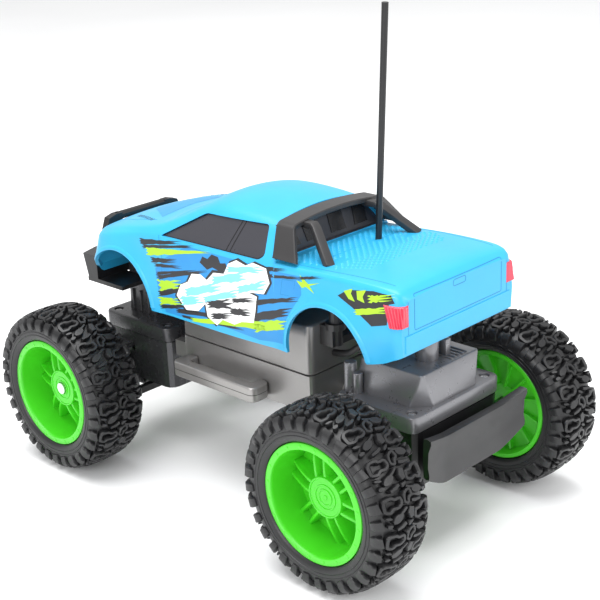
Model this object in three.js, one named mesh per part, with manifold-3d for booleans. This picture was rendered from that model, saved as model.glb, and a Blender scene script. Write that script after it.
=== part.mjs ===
// A radio-controlled 4x4 crawler toy: a pick-up body on a battery chassis, a fixed front drive pod
// with steered wheels and a rear drive pod that rolls about a lengthwise pivot.
// Millimetres. +X is forwards, +Y is the car's left and +Z is up; Z = 0 is the ground.
import * as THREE from "three";
import { mergeVertices } from "three/addons/utils/BufferGeometryUtils.js";
import Module from "manifold-3d";

const wasm = await Module();
wasm.setup();

// ---------------------------------------------------------------- driving dimensions
const GAP = 0.3; // between touching pieces
const WALL = 1.6; // moulded housings
const AXLE_X = 104; // wheel centres, fore and aft
const AXLE_Z = 48;
const TYRE_R = 48;
const TYRE_IN_Y = 55;
const TYRE_OUT_Y = 91;
const BEAD_R = 31.6; // where tyre and rim meet
const RIM_IN_Y = 58;
const RIM_OUT_Y = 89;
const WEB_Y = 69; // the rim's closed disc
const HUB_FACE_Y = 79;
const SHAFT_R = 1.9;
const BORE_R = 2.3;
const ROUND = 24; // segments of a large circle
const SMALL_ROUND = 12;

const BODY_SKIN = 1.8;
const FRONT_ARCH = { x: 83, z: 100, r: 28 };
const REAR_ARCH = { x: -78.5, z: 103, r: 27 };
const ROOF_REAR_X = -33;
const CAB_REAR_X = -44.5;

const BOX = { front: 51, rear: -50, half: 30, low: 58, split: 79.5, top: 108 };
const POD = { floor: 41, sump: 34, flange: 70, deck: 79, corner: 6 };
const FRONT_POD = { front: 121, rear: 64, half: 31 };
const REAR_POD = { front: -72, rear: -124, half: 36, top: 96.4 };
const PILLAR = { front: 111, rear: 89, half: 18, top: 126 };
const PIVOT_Z = 62;
const KING_Y = 50; // steering axis
const ARM_X = 88; // steering arm pins
const ARM_Y = 46;
const HORN_X = 76;
const TIE_LOW = 34;
const TIE_HIGH = 38;

const MODULE = 1;
const WHEEL_TEETH = 18;
const PINION_TEETH = 9;
const MESH_DISTANCE = (MODULE * (WHEEL_TEETH + PINION_TEETH)) / 2;
const IDLER_ANGLE = (60 * Math.PI) / 180; // from the axle up to the idler, measured from -X or +X
const MOTOR_ANGLE = (130 * Math.PI) / 180; // from the idler up to the motor

// ---------------------------------------------------------------- materials
const material = (color, roughness, metalness = 0) =>
  new THREE.MeshStandardMaterial({ color, roughness, metalness });
const BLUE = material(0x2fb9ea, 0.45);
const GRAPHITE = material(0x4a4a4c, 0.5);
const SILVER_GREY = material(0x807c7b, 0.4, 0.1);
const POD_GREY = material(0x6d6c70, 0.35, 0.15);
const BLACK = material(0x1e1d1f, 0.5);
const RUBBER = material(0x2d2d2f, 0.8);
const GREEN = material(0x49dd27, 0.4);
const RED = material(0xd8324a, 0.3);
const STEEL = material(0xc0c0c4, 0.3, 0.9);
const CLEAR_GREY = material(0x46464c, 0.4);
const WHITE = material(0xe8e6e0, 0.5);
const BOARD = material(0x1d6a3a, 0.6);
const CELL = material(0x303438, 0.4, 0.4);

// ---------------------------------------------------------------- solids
function solid(geometry) {
  const g = geometry.clone();
  for (const name of Object.keys(g.attributes)) {
    if (name !== "position") g.deleteAttribute(name);
  }
  const merged = mergeVertices(g, 1e-4);
  return new wasm.Manifold(
    new wasm.Mesh({
      numProp: 3,
      vertProperties: merged.attributes.position.array,
      triVerts: new Uint32Array(merged.index.array),
    }),
  );
}

function geometryOf(manifold) {
  const mesh = manifold.getMesh();
  const position = new Float32Array(mesh.numVert * 3);
  for (let i = 0; i < mesh.numVert; i++) {
    position.set(mesh.vertProperties.subarray(i * mesh.numProp, i * mesh.numProp + 3), i * 3);
  }
  const g = new THREE.BufferGeometry();
  g.setAttribute("position", new THREE.BufferAttribute(position, 3));
  g.setIndex(new THREE.BufferAttribute(mesh.triVerts, 1));
  g.computeVertexNormals();
  return g;
}

// A box from its lowest to its highest corner.
function block([x0, y0, z0], [x1, y1, z1]) {
  const g = new THREE.BoxGeometry(x1 - x0, y1 - y0, z1 - z0);
  return solid(g.translate((x0 + x1) / 2, (y0 + y1) / 2, (z0 + z1) / 2));
}

// A cylinder or cone along an axis, from one coordinate to the other on that axis.
function rod(axis, centre, r, from, to, sides = SMALL_ROUND, rEnd = r) {
  const g = new THREE.CylinderGeometry(rEnd, r, to - from, sides);
  g.translate(0, (from + to) / 2, 0);
  if (axis === "x") g.rotateZ(-Math.PI / 2);
  if (axis === "z") g.rotateX(Math.PI / 2);
  const [a, b] = centre;
  const shift = { x: [0, a, b], y: [a, 0, b], z: [a, b, 0] }[axis];
  return solid(g.translate(...shift));
}

// An outline in the XZ plane, extruded along Y from y0 to y1.
function sidePrism(points, y0, y1) {
  const shape = new THREE.Shape(points.map(([x, z]) => new THREE.Vector2(x, z)));
  const g = new THREE.ExtrudeGeometry(shape, { depth: y1 - y0, bevelEnabled: false });
  return solid(g.rotateX(Math.PI / 2).translate(0, y1, 0));
}

// An outline in the XY plane, extruded up from z0 to z1.
function plate(points, z0, z1) {
  const shape = new THREE.Shape(points.map(([x, y]) => new THREE.Vector2(x, y)));
  const g = new THREE.ExtrudeGeometry(shape, { depth: z1 - z0, bevelEnabled: false });
  return solid(g.translate(0, 0, z0));
}

// A rectangle in the XY plane with round corners, extruded up.
function roundedPlate(x0, x1, half, r, z0, z1) {
  const steps = 3;
  const points = [];
  const corners = [
    [x1 - r, half - r, 0],
    [x0 + r, half - r, 1],
    [x0 + r, -half + r, 2],
    [x1 - r, -half + r, 3],
  ];
  for (const [cx, cy, quarter] of corners) {
    for (let i = 0; i <= steps; i++) {
      const a = ((quarter + i / steps) * Math.PI) / 2;
      points.push([cx + r * Math.cos(a), cy + r * Math.sin(a)]);
    }
  }
  return plate(points, z0, z1);
}

// A closed profile of [radius, y] turned about the Y axis through (x, z). The middles of its flats lie
// at the stated radius and one of them faces straight down, so a wheel stands on a flat.
function turned(profile, x, z, sides = ROUND) {
  const grow = 1 / Math.cos(Math.PI / sides);
  const g = new THREE.LatheGeometry(
    profile.map(([r, y]) => new THREE.Vector2(r * grow, y)),
    sides,
  );
  return solid(g.rotateY(Math.PI / sides).translate(x, 0, z));
}

// A bar of round section along a list of points.
function bar(points, r, sides, steps) {
  const curve = new THREE.CatmullRomCurve3(points.map((p) => new THREE.Vector3(...p)));
  const ring = new THREE.Shape();
  ring.absarc(0, 0, r, 0, 2 * Math.PI);
  const g = new THREE.ExtrudeGeometry(new THREE.Shape(ring.getPoints(sides / 4)), {
    extrudePath: curve,
    steps,
  });
  return solid(g);
}

// A convex body that wraps a few points.
function wrap(points) {
  return wasm.Manifold.hull(points);
}

const mirrored = (m) => m.mirror([0, 1, 0]);
const bothSides = (m) => m.add(mirrored(m));

const car = new THREE.Group();
function part(name, manifold, mat) {
  const mesh = new THREE.Mesh(geometryOf(manifold), mat);
  mesh.name = name;
  car.add(mesh);
}

// ---------------------------------------------------------------- gears
// A spur gear about the Y axis: involute flanks, thinned for backlash. phase turns it, in radians.
function gear(teeth, x, z, y0, y1, phase) {
  const backlash = 0.16;
  const pitchR = (MODULE * teeth) / 2;
  const baseR = pitchR * Math.cos((20 * Math.PI) / 180);
  const rootR = pitchR - 1.2 * MODULE;
  const tipR = pitchR + 0.8 * MODULE;
  const involute = (r) => {
    const a = Math.acos(Math.min(1, baseR / Math.max(r, baseR)));
    return Math.tan(a) - a;
  };
  const halfAt = (r) =>
    (Math.PI / (2 * teeth)) * (1 - backlash) + involute(pitchR) - involute(r);
  const points = [];
  for (let i = 0; i < teeth; i++) {
    const mid = phase + (2 * Math.PI * i) / teeth;
    for (const [r, side] of [
      [rootR, -1],
      [tipR, -1],
      [tipR, 1],
      [rootR, 1],
    ]) {
      const a = mid + side * halfAt(r);
      points.push([x + r * Math.cos(a), z + r * Math.sin(a)]);
    }
  }
  return sidePrism(points, y0, y1);
}

// The drive train of one pod. side is 1 where the idler leans forwards and -1 where it leans back.
function driveTrain(x, side) {
  const idler = [
    x + side * MESH_DISTANCE * Math.cos(IDLER_ANGLE),
    AXLE_Z + MESH_DISTANCE * Math.sin(IDLER_ANGLE),
  ];
  const motor = [
    idler[0] + side * MESH_DISTANCE * Math.cos(MOTOR_ANGLE),
    idler[1] + MESH_DISTANCE * Math.sin(MOTOR_ANGLE),
  ];
  const toIdler = Math.atan2(idler[1] - AXLE_Z, idler[0] - x);
  const toMotor = Math.atan2(motor[1] - idler[1], motor[0] - idler[0]);
  const half = (n) => Math.PI / n;
  return {
    idler,
    motor,
    axleGear: gear(WHEEL_TEETH, x, AXLE_Z, 18.3, 22, toIdler).subtract(
      rod("y", [x, AXLE_Z], SHAFT_R + GAP, 0, 40),
    ),
    idlerGear: gear(PINION_TEETH, ...idler, 17.2, 22.3, toIdler + Math.PI + half(PINION_TEETH))
      .add(gear(WHEEL_TEETH, ...idler, 13, 17.2, toMotor))
      .add(rod("y", idler, 1.5, 9.5, 26)),
    pinion: gear(PINION_TEETH, ...motor, 12.6, 17.5, toMotor + Math.PI + half(PINION_TEETH)).subtract(
      rod("y", motor, 1 + GAP, 0, 30, 8),
    ),
    motorCan: rod("y", motor, 9.8, -14, 11, 16)
      .intersect(block([motor[0] - 12, -20, motor[1] - 7], [motor[0] + 12, 20, motor[1] + 7]))
      .add(rod("y", motor, 3, -16, 12))
      .add(rod("y", motor, 1, -17, 17.3, 8)),
  };
}
const front = driveTrain(AXLE_X, -1);
const rear = driveTrain(-AXLE_X, 1);

// ---------------------------------------------------------------- wheels
// The left wheel of an axle; the right one is its mirror image.
function rimAt(x, hubHole) {
  const rim = turned(
    [
      [0, WEB_Y - 1.5],
      [26.6, WEB_Y - 1.5],
      [28.6, RIM_IN_Y],
      [BEAD_R, RIM_IN_Y],
      [29.8, RIM_IN_Y + 4],
      [29.8, RIM_OUT_Y - 4],
      [BEAD_R, RIM_OUT_Y - 2.5],
      [BEAD_R, RIM_OUT_Y],
      [27.4, RIM_OUT_Y],
      [26, WEB_Y],
      [9, WEB_Y],
      [9, HUB_FACE_Y],
      [0, HUB_FACE_Y],
    ],
    x,
    AXLE_Z,
  );
  const spokes = 6;
  let made = rim;
  for (let i = 0; i < spokes; i++) {
    for (const offset of [-3, 3]) {
      const rib = block([8, WEB_Y - 1, offset - 0.9], [27, HUB_FACE_Y - 2, offset + 0.9]);
      const turn = (i * 360) / spokes + 15;
      made = made.add(rib.rotate([0, turn, 0]).translate([x, 0, AXLE_Z]));
    }
  }
  const bore = hubHole ? HUB_FACE_Y + 1 : HUB_FACE_Y - 2;
  return made.subtract(rod("y", [x, AXLE_Z], SHAFT_R + GAP, 0, bore));
}

function tyreAt(x) {
  const shoulder = 7;
  return turned(
    [
      [BEAD_R + GAP, RIM_IN_Y],
      [BEAD_R + 6, TYRE_IN_Y],
      [TYRE_R - 5, TYRE_IN_Y + 0.5],
      [TYRE_R, TYRE_IN_Y + shoulder],
      [TYRE_R, TYRE_OUT_Y - shoulder],
      [TYRE_R - 5, TYRE_OUT_Y - 0.5],
      [BEAD_R + 6, TYRE_OUT_Y],
      [BEAD_R + GAP, RIM_OUT_Y],
      [BEAD_R + GAP, RIM_OUT_Y - 3],
      [30.2, RIM_OUT_Y - 5],
      [30.2, RIM_IN_Y + 5],
      [BEAD_R + GAP, RIM_IN_Y + 3],
      [BEAD_R + GAP, RIM_IN_Y],
    ],
    x,
    AXLE_Z,
  );
}

for (const [end, x] of [
  ["front", AXLE_X],
  ["rear", -AXLE_X],
]) {
  const rim = rimAt(x, end === "front");
  const tyre = tyreAt(x);
  part(`${end}_left_rim`, rim, GREEN);
  part(`${end}_right_rim`, mirrored(rim), GREEN);
  part(`${end}_left_tyre`, tyre, RUBBER);
  part(`${end}_right_tyre`, mirrored(tyre), RUBBER);
}

// ---------------------------------------------------------------- rear drive
part("rear_axle_shaft", rod("y", [-AXLE_X, AXLE_Z], SHAFT_R, -76.5, 76.5), STEEL);
part("rear_axle_gear", rear.axleGear, WHITE);
part("rear_idler_gear", rear.idlerGear, WHITE);
part("rear_motor_pinion", rear.pinion, WHITE);
part("rear_motor", rear.motorCan, STEEL);

// ---------------------------------------------------------------- front drive and steering
const driveShaft = rod("y", [AXLE_X, AXLE_Z], SHAFT_R, -44, 44).add(
  bothSides(rod("y", [AXLE_X, AXLE_Z], 3.2, 42, 46.5)),
);
part("front_drive_shaft", driveShaft, STEEL);
part("front_drive_gear", front.axleGear, WHITE);
part("front_idler_gear", front.idlerGear, WHITE);
part("front_motor_pinion", front.pinion, WHITE);
part("front_motor", front.motorCan, STEEL);

function stubAxle() {
  return rod("y", [AXLE_X, AXLE_Z], SHAFT_R, 49, 80.5).add(
    rod("y", [AXLE_X, AXLE_Z], 3.4, HUB_FACE_Y + GAP, HUB_FACE_Y + 1.6),
  );
}
part("left_stub_axle", stubAxle(), STEEL);
part("right_stub_axle", mirrored(stubAxle()), STEEL);

// The left knuckle: a carrier on a kingpin, with an arm back to the tie rod's pin.
function knuckle() {
  const top = 60;
  const low = 37;
  const arm = wrap([
    [AXLE_X - 4, 50, 39],
    [AXLE_X + 4, 50, 39],
    [AXLE_X - 4, 50, 43],
    [AXLE_X + 4, 50, 43],
    [AXLE_X - 4, 54, 39],
    [AXLE_X - 4, 54, 43],
    [ARM_X - 2.5, ARM_Y - 2.5, 39],
    [ARM_X - 2.5, ARM_Y + 2.5, 39],
    [ARM_X - 2.5, ARM_Y - 2.5, 42],
    [ARM_X - 2.5, ARM_Y + 2.5, 42],
  ]);
  return block([AXLE_X - 6, KING_Y - 4, low], [AXLE_X + 6, 63, top - 0.4])
    .subtract(block([AXLE_X - 7, KING_Y - 5, 43.5], [AXLE_X + 7, 51.5, 52.5]))
    .add(rod("z", [AXLE_X, KING_Y], 2.2, 33.5, low + 1))
    .add(rod("z", [AXLE_X, KING_Y], 2.2, top - 2, 63.5))
    .subtract(rod("y", [AXLE_X, AXLE_Z], BORE_R, 45, 70))
    .add(arm)
    .add(rod("z", [ARM_X, ARM_Y], 1.5, TIE_LOW - 1, 40))
    .subtract(block([AXLE_X - 7, KING_Y - 5, 43.5], [AXLE_X + 7, 51.5, 52.5]));
}
part("left_steering_knuckle", knuckle(), GRAPHITE);
part("right_steering_knuckle", mirrored(knuckle()), GRAPHITE);

// The tie rod slides across the car. Its slots let the pins swing on their arcs.
function tieRod() {
  const eye = (back, forward, y) =>
    block([ARM_X - back, y - 4.4, TIE_LOW], [ARM_X + forward, y + 4.4, TIE_HIGH]);
  const slot = (back, forward, y) =>
    block([ARM_X - back, y - 1.95, 30], [ARM_X + forward, y + 1.95, 45]);
  return block([ARM_X - 2, -ARM_Y + 3, TIE_LOW], [ARM_X + 2, ARM_Y - 3, TIE_HIGH])
    .add(bothSides(eye(4.4, 6.8, ARM_Y)))
    .add(eye(5.6, 4, 0))
    .subtract(bothSides(slot(2.4, 4.8, ARM_Y)))
    .subtract(slot(3.8, 2.2, 0));
}
part("steering_tie_rod", tieRod(), BLACK);
part(
  "steering_horn",
  rod("z", [HORN_X, 0], 4.5, 38.4, 40.5)
    .add(plate([[HORN_X, -3], [ARM_X + 2, -2], [ARM_X + 2, 2], [HORN_X, 3]], 38.4, 40.5))
    .add(rod("z", [ARM_X, 0], 1.5, TIE_LOW - 1, 39))
    .add(rod("z", [HORN_X, 0], 1.8, 40, 46)),
  WHITE,
);
part(
  "steering_motor",
  rod("z", [HORN_X, 0], 9.5, 47, 66, 16).add(rod("z", [HORN_X, 0], 3, 46.3, 48)),
  STEEL,
);

// ---------------------------------------------------------------- pods
const screwCorner = (pod, inset) => [
  [pod.front - inset, pod.half - inset],
  [pod.rear + inset, pod.half - inset],
  [pod.front - inset, -pod.half + inset],
  [pod.rear + inset, -pod.half + inset],
];
const SCREW_INSET = 6.2;

// The lower half of a pod, an open tub with a sump under the axle. x is the axle's place.
function podBase(pod, x, tubeEnd) {
  const { front: f, rear: r, half } = pod;
  const sump = [
    [x - 13, POD.floor + 4],
    [x - 13, POD.floor],
    [x - 8, POD.sump],
    [x + 8, POD.sump],
    [x + 13, POD.floor],
    [x + 13, POD.floor + 4],
  ];
  const inner = [
    [x - 13 + WALL, POD.floor + 6],
    [x - 13 + WALL, POD.floor + WALL],
    [x - 8 + WALL / 2, POD.sump + WALL],
    [x + 8 - WALL / 2, POD.sump + WALL],
    [x + 13 - WALL, POD.floor + WALL],
    [x + 13 - WALL, POD.floor + 6],
  ];
  const sumpHalf = 25;
  let made = roundedPlate(r, f, half - 1, POD.corner, POD.floor, POD.flange - GAP)
    .add(sidePrism(sump, -sumpHalf, sumpHalf))
    .subtract(roundedPlate(r + WALL, f - WALL, half - 1 - WALL, POD.corner - WALL, POD.floor + WALL, 90))
    .subtract(sidePrism(inner, -sumpHalf + WALL, sumpHalf - WALL));
  for (const [sx, sy] of screwCorner(pod, SCREW_INSET)) {
    made = made.add(rod("z", [sx, sy], 4.4, POD.floor + 1, POD.flange - GAP, 8));
    made = made.subtract(rod("z", [sx, sy], 1.5, 55, 80, 8));
  }
  const tube = rod("y", [x, AXLE_Z], 6.5, half - 2, tubeEnd);
  made = made.add(bothSides(tube));
  for (const y of [10.2, 24.4]) {
    made = made.add(block([x - 2, y - 0.6, POD.sump + 1], [x + 2, y + 0.6, AXLE_Z - SHAFT_R - GAP]));
  }
  return made.subtract(rod("y", [x, AXLE_Z], BORE_R, -tubeEnd - 5, tubeEnd + 5));
}

// The saddles that carry the idler's stub shafts and the motor, standing on a pod's floor.
function saddles(train) {
  const [ix, iz] = train.idler;
  let made = null;
  for (const [y, z] of [[10.2, iz - 1.9], [25.2, iz - 1.9]]) {
    const post = block([ix - 1.6, y - 0.6, POD.sump + 1.2], [ix + 1.6, y + 0.6, z]);
    made = made ? made.add(post) : post;
  }
  return made;
}

const yokes = bothSides(
  block([AXLE_X - 7, FRONT_POD.half - 2, 60.2], [AXLE_X + 7, 55, 63.4])
    .add(block([AXLE_X - 7, FRONT_POD.half - 3, 33.6], [AXLE_X + 7, 55, 36.6]))
    .add(block([AXLE_X - 7, FRONT_POD.half - 3, 33.6], [AXLE_X + 7, FRONT_POD.half + 6, 46]))
    .subtract(rod("z", [AXLE_X, KING_Y], 2.6, 30, 70)),
);
const frontBase = podBase(FRONT_POD, AXLE_X, 40)
  .add(yokes)
  .add(block([AXLE_X - 7, -26, POD.sump], [AXLE_X + 7, -24.2, POD.floor + 3]))
  .add(saddles(front))
  .subtract(rod("z", [HORN_X, 0], 2.4, 35, 45))
  .subtract(rod("y", [AXLE_X, AXLE_Z], BORE_R, -60, 60))
  .subtract(rod("y", front.idler, 1.9, 0, 30))
  .subtract(rod("y", [AXLE_X, AXLE_Z], 10.6, 17.6, 22.8, 20));
part("front_gearbox_base", frontBase, GRAPHITE);

const rearBase = podBase(REAR_POD, -AXLE_X, 53)
  .add(saddles(rear))
  .add(rod("x", [0, PIVOT_Z], 8, REAR_POD.front - 1, REAR_POD.front + 8, 16))
  .subtract(rod("x", [0, PIVOT_Z], 3.4, REAR_POD.front - 6, REAR_POD.front + 9))
  .subtract(rod("y", rear.idler, 1.9, 0, 30))
  .subtract(rod("y", [-AXLE_X, AXLE_Z], 10.6, 17.6, 22.8, 20));
part("rear_gearbox_base", rearBase, BLACK);

// The screws' heads lie in counterbores in the covers' decks.
function podScrew([x, y], deck) {
  return rod("z", [x, y], 2.4, deck - 2, deck - 0.6, 10).add(rod("z", [x, y], 1.2, deck - 14, deck - 1.5, 8));
}
function sunkScrews(cover, pod, deck) {
  let made = cover;
  for (const at of screwCorner(pod, SCREW_INSET)) {
    made = made
      .subtract(rod("z", at, 2.8, deck - 2.3, deck + 8, 12))
      .subtract(rod("z", at, 1.5, deck - 20, deck, 8));
  }
  return made;
}

function frontCover() {
  const { front: f, rear: r, half, top } = PILLAR;
  const lean = 5;
  const pillar = wrap([
    [f, half, 78],
    [f, -half, 78],
    [r, half, 78],
    [r, -half, 78],
    [f - lean, half - 1.5, top],
    [f - lean, -half + 1.5, top],
    [r + 3, half - 1.5, top],
    [r + 3, -half + 1.5, top],
  ]);
  const inside = wrap([
    [f - WALL, half - WALL, 60],
    [f - WALL, -half + WALL, 60],
    [r + WALL, half - WALL, 60],
    [r + WALL, -half + WALL, 60],
    [f - lean - WALL, half - 1.5 - WALL, top - WALL],
    [f - lean - WALL, -half + 1.5 + WALL, top - WALL],
    [r + 3 + WALL, half - 1.5 - WALL, top - WALL],
    [r + 3 + WALL, -half + 1.5 + WALL, top - WALL],
  ]);
  const { front: pf, rear: pr, half: ph } = FRONT_POD;
  const deck = roundedPlate(pr, pf, ph, POD.corner, POD.flange, POD.deck)
    .subtract(roundedPlate(pr + WALL, pf - WALL, ph - WALL, POD.corner - WALL, 60, POD.deck - WALL))
    .add(pillar)
    .subtract(inside);
  let made = deck;
  for (const at of screwCorner(FRONT_POD, SCREW_INSET)) {
    made = made.add(rod("z", at, 4, POD.flange, POD.deck - 1, 12));
  }
  return sunkScrews(made, FRONT_POD, POD.deck);
}
part("front_gearbox_cover", frontCover(), GRAPHITE);

// The rear cover: a raised motor housing with cut-away corners over the screws.
function rearCover() {
  const { front: f, rear: r, half, top } = REAR_POD;
  const housing = wrap([
    [f - 2, 29, POD.deck - 1],
    [f - 2, -29, POD.deck - 1],
    [r + 0.5, 19, POD.deck - 1],
    [r + 0.5, -19, POD.deck - 1],
    [r + 12, 29, POD.deck - 1],
    [r + 12, -29, POD.deck - 1],
    [f - 2, 28, top],
    [f - 2, -28, top],
    [r + 10, 24, top],
    [r + 10, -24, top],
    [r + 12, 28, top],
    [r + 12, -28, top],
  ]);
  const inside = housing
    .translate([98, 0, -POD.deck])
    .scale([0.93, 0.94, 1])
    .translate([-98, 0, POD.deck - WALL]);
  const cornerBosses = bothSides(
    rod("z", [f - 3.4, 27], 3.4, POD.deck - 1, top).add(rod("z", [f - 9, 27.6], 2.6, POD.deck - 1, top - 1)),
  );
  const post = rod("z", [-106, 3], 6, top - 1, 107).add(block([-112, -9, top - 1], [-107.5, -5, 105]));
  let made = roundedPlate(r, f, half, POD.corner, POD.flange, POD.deck)
    .subtract(roundedPlate(r + WALL, f - WALL, half - WALL, POD.corner - WALL, 60, POD.deck - WALL))
    .add(housing)
    .add(cornerBosses)
    .subtract(inside)
    .subtract(block([-115, -26, 68], [-84, 26, POD.deck + 1]))
    .add(post);
  for (const at of screwCorner(REAR_POD, SCREW_INSET)) {
    made = made.add(rod("z", at, 4, POD.flange, POD.deck, 12));
  }
  return sunkScrews(made, REAR_POD, POD.deck);
}
part("rear_gearbox_cover", rearCover(), POD_GREY);

const CORNER_NAMES = ["front_left", "rear_left", "front_right", "rear_right"];
for (const [end, pod] of [["front", FRONT_POD], ["rear", REAR_POD]]) {
  screwCorner(pod, SCREW_INSET).forEach((at, i) => {
    part(`${end}_pod_screw_${CORNER_NAMES[i]}`, podScrew(at, POD.deck), STEEL);
  });
}

// The rear bumper: a bent plate with swept-up tips, on two lugs from the pod.
function rearBumper() {
  const x = -137;
  const wing = 40;
  const thick = 2.2;
  const halfPlate = wrap([
    [x, 0, 43],
    [x + thick, 0, 43],
    [x, 0, 68],
    [x + thick, 0, 68],
    [x, 27, 42],
    [x + thick, 27, 42],
    [x - 1, 32, 68],
    [x + thick - 1, 32, 68],
  ]).add(
    wrap([
      [x, 27, 42],
      [x + thick, 27, 42],
      [x - 1, 32, 68],
      [x + thick - 1, 32, 68],
      [x + 2, wing, 74],
      [x + thick + 2, wing, 74],
      [x + 1, wing, 69],
      [x + thick + 1, wing, 69],
    ]),
  );
  const lug = block([x + 1, 12, 50], [REAR_POD.rear - GAP, 18, 60]);
  return bothSides(halfPlate.add(lug));
}
part("rear_bumper", rearBumper(), BLACK);

// ---------------------------------------------------------------- battery chassis
const CELL_R = 7.25;
const CELL_LENGTH = 50.5;
const CELL_Y = [-16, 0, 16];
const DOOR = { front: 34, rear: -34, half: 25, thick: 2 };

function chassisTub() {
  const { front: f, rear: r, half, low, split } = BOX;
  return roundedPlate(r, f, half, 3, low, split - GAP)
    .subtract(roundedPlate(r + WALL, f - WALL, half - WALL, 2, low + WALL, split + 1))
    .subtract(
      block([DOOR.rear - GAP, -DOOR.half - GAP, low - 1], [DOOR.front + GAP, DOOR.half + GAP, low + 3]),
    )
    .add(block([DOOR.rear - 4, -half + 1, low + 2.6], [DOOR.rear + 9, half - 1, low + 4.2]))
    .subtract(rod("z", [DOOR.rear + 5, 0], 1.8, low, low + 9, 8))
    .add(rod("x", [0, PIVOT_Z + 0.5], 6.5, r - 8, r + 0.5, 16))
    .add(block([f - 1, -9, low], [FRONT_POD.rear - GAP, 9, split - 6]))
    .add(bothSides(block([f - 1, 20, low + 4], [FRONT_POD.rear - GAP, 25, split - 8])))
    .subtract(rod("x", [0, PIVOT_Z], 3.4, r - 9, r + 3))
    .subtract(block([38, 9, low - 1], [48, 15, low + 5]));
}
part("chassis_tub", chassisTub(), SILVER_GREY);

function chassisCover() {
  const { front: f, rear: r, half, split, top } = BOX;
  return roundedPlate(r, f, half, 3, split, top).subtract(
    roundedPlate(r + WALL, f - WALL, half - WALL, 2, split - 1, top - WALL),
  ).subtract(rod("x", [12, 90], 2.6, r - 2, r + 4));
}
part("chassis_cover", chassisCover(), SILVER_GREY);

// A stirrup step on the left side: a bar, two arms and a foot under the tub's wall.
function sideStep() {
  const half = 33;
  const centre = 13;
  const outer = roundedPlate(centre - half, centre + half, 14, 5, 60.2, 69.2);
  const slot = roundedPlate(centre - half + 8, centre + half - 8, 5.5, 2.4, 50, 80);
  return outer
    .translate([0, 44.3 - 14, 0])
    .subtract(slot.translate([0, 31.6, 0]))
    .subtract(block([-60, 0, 50], [60, BOX.half + GAP, 90]));
}
part("left_side_step", sideStep(), SILVER_GREY);
part("right_side_step", mirrored(sideStep()), SILVER_GREY);

CELL_Y.forEach((y, i) => {
  const cell = rod("x", [y, 70], CELL_R, -CELL_LENGTH / 2, CELL_LENGTH / 2 - 1, 12).add(
    rod("x", [y, 70], 2.6, 0, CELL_LENGTH / 2, 8),
  );
  part(`battery_cell_${i + 1}`, cell, CELL);
});
part(
  "battery_contact_plate",
  CELL_Y.reduce(
    (made, y) => made.add(block([-28.3, y - 2, 68], [-25.8, y + 2, 72])),
    block([-28.5, -23, 64.4], [-28, 23, 77]),
  ),
  STEEL,
);
part(
  "circuit_board",
  block([-34, -22, 86], [34, 22, 87.6])
    .add(block([-20, -14, 87], [-6, -4, 92]))
    .add(rod("z", [12, 8], 4, 87, 96, 10))
    .add(block([20, -12, 87], [30, 2, 93])),
  BOARD,
);

// The battery door hooks in at its front edge and swings down from there.
part(
  "battery_door",
  block([DOOR.rear, -DOOR.half, BOX.low], [DOOR.front, DOOR.half, BOX.low + DOOR.thick])
    .subtract(rod("z", [DOOR.rear + 5, 0], 1.4, BOX.low - 1, BOX.low + 5, 8))
    .subtract(rod("z", [DOOR.rear + 5, 0], 2.7, BOX.low - 1, BOX.low + 1.2, 10)),
  SILVER_GREY,
);
part(
  "battery_door_screw",
  rod("z", [DOOR.rear + 5, 0], 2.3, BOX.low - 0.1, BOX.low + 0.9, 10).add(
    rod("z", [DOOR.rear + 5, 0], 1, BOX.low + 0.5, BOX.low + 5.5, 8),
  ),
  STEEL,
);
part(
  "power_switch",
  block([39.5, 10, BOX.low - 1.6], [42.5, 14, BOX.low + 4])
    .add(block([39, 8, BOX.low + 2.2], [43, 16, BOX.low + 4])),
  BLACK,
);
part(
  "pivot_bolt",
  rod("x", [0, PIVOT_Z], 3, REAR_POD.front - 3.5, BOX.rear + 2).add(
    rod("x", [0, PIVOT_Z], 5, REAR_POD.front - 5, REAR_POD.front - WALL - GAP - 0.4),
  ),
  STEEL,
);

// ---------------------------------------------------------------- wiring loom over the pivot
const LOOM_ROUTE = [
  [BOX.rear - 0.6, 12, 88],
  [-56, 12, 89],
  [-62, 12, 91],
  [-70, 12, 97],
  [-78, 12, 103],
  [-85, 12, 105],
  [-91, 12, 103],
  [-93, 12, 100],
  [-93, 12, REAR_POD.top + 0.8],
];
part("wiring_loom", bar(LOOM_ROUTE, 2, 8, 18), BLACK);

// ---------------------------------------------------------------- body shell
// Half sections of the shell: [x, sill z, side y, shoulder y and z, top edge y and z, crown z].
const SECTIONS = [
  [112, 107, 43, 41, 116, 35, 118, 119],
  [109, 107, 45, 42, 128, 36, 131, 132],
  [105, 107, 46.5, 43, 132, 38, 135.5, 137],
  [96, 106, 47, 44.5, 134.5, 39, 138, 141],
  [60, 98, 47, 45, 141.5, 41, 145.5, 149],
  [18, 98, 47, 44.5, 143, 32.5, 162, 165.5],
  [-10, 98.5, 47, 44.5, 143, 32.5, 163, 166.5],
  [ROOF_REAR_X, 99, 47, 44.5, 143, 32, 162.6, 165.6],
  [CAB_REAR_X, 100, 47, 44.5, 143, 30.5, 161.5, 164.5],
  [CAB_REAR_X - 0.4, 100, 47, 45, 143.5, 42, 145.8, 146],
  [-112, 110, 47.5, 45, 143.5, 41, 146.2, 146.8],
  [-120, 112, 47.5, 44.5, 142, 40, 145.2, 145.8],
  [-124.5, 113, 47, 43.5, 138, 38, 141.5, 142],
];

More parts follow.
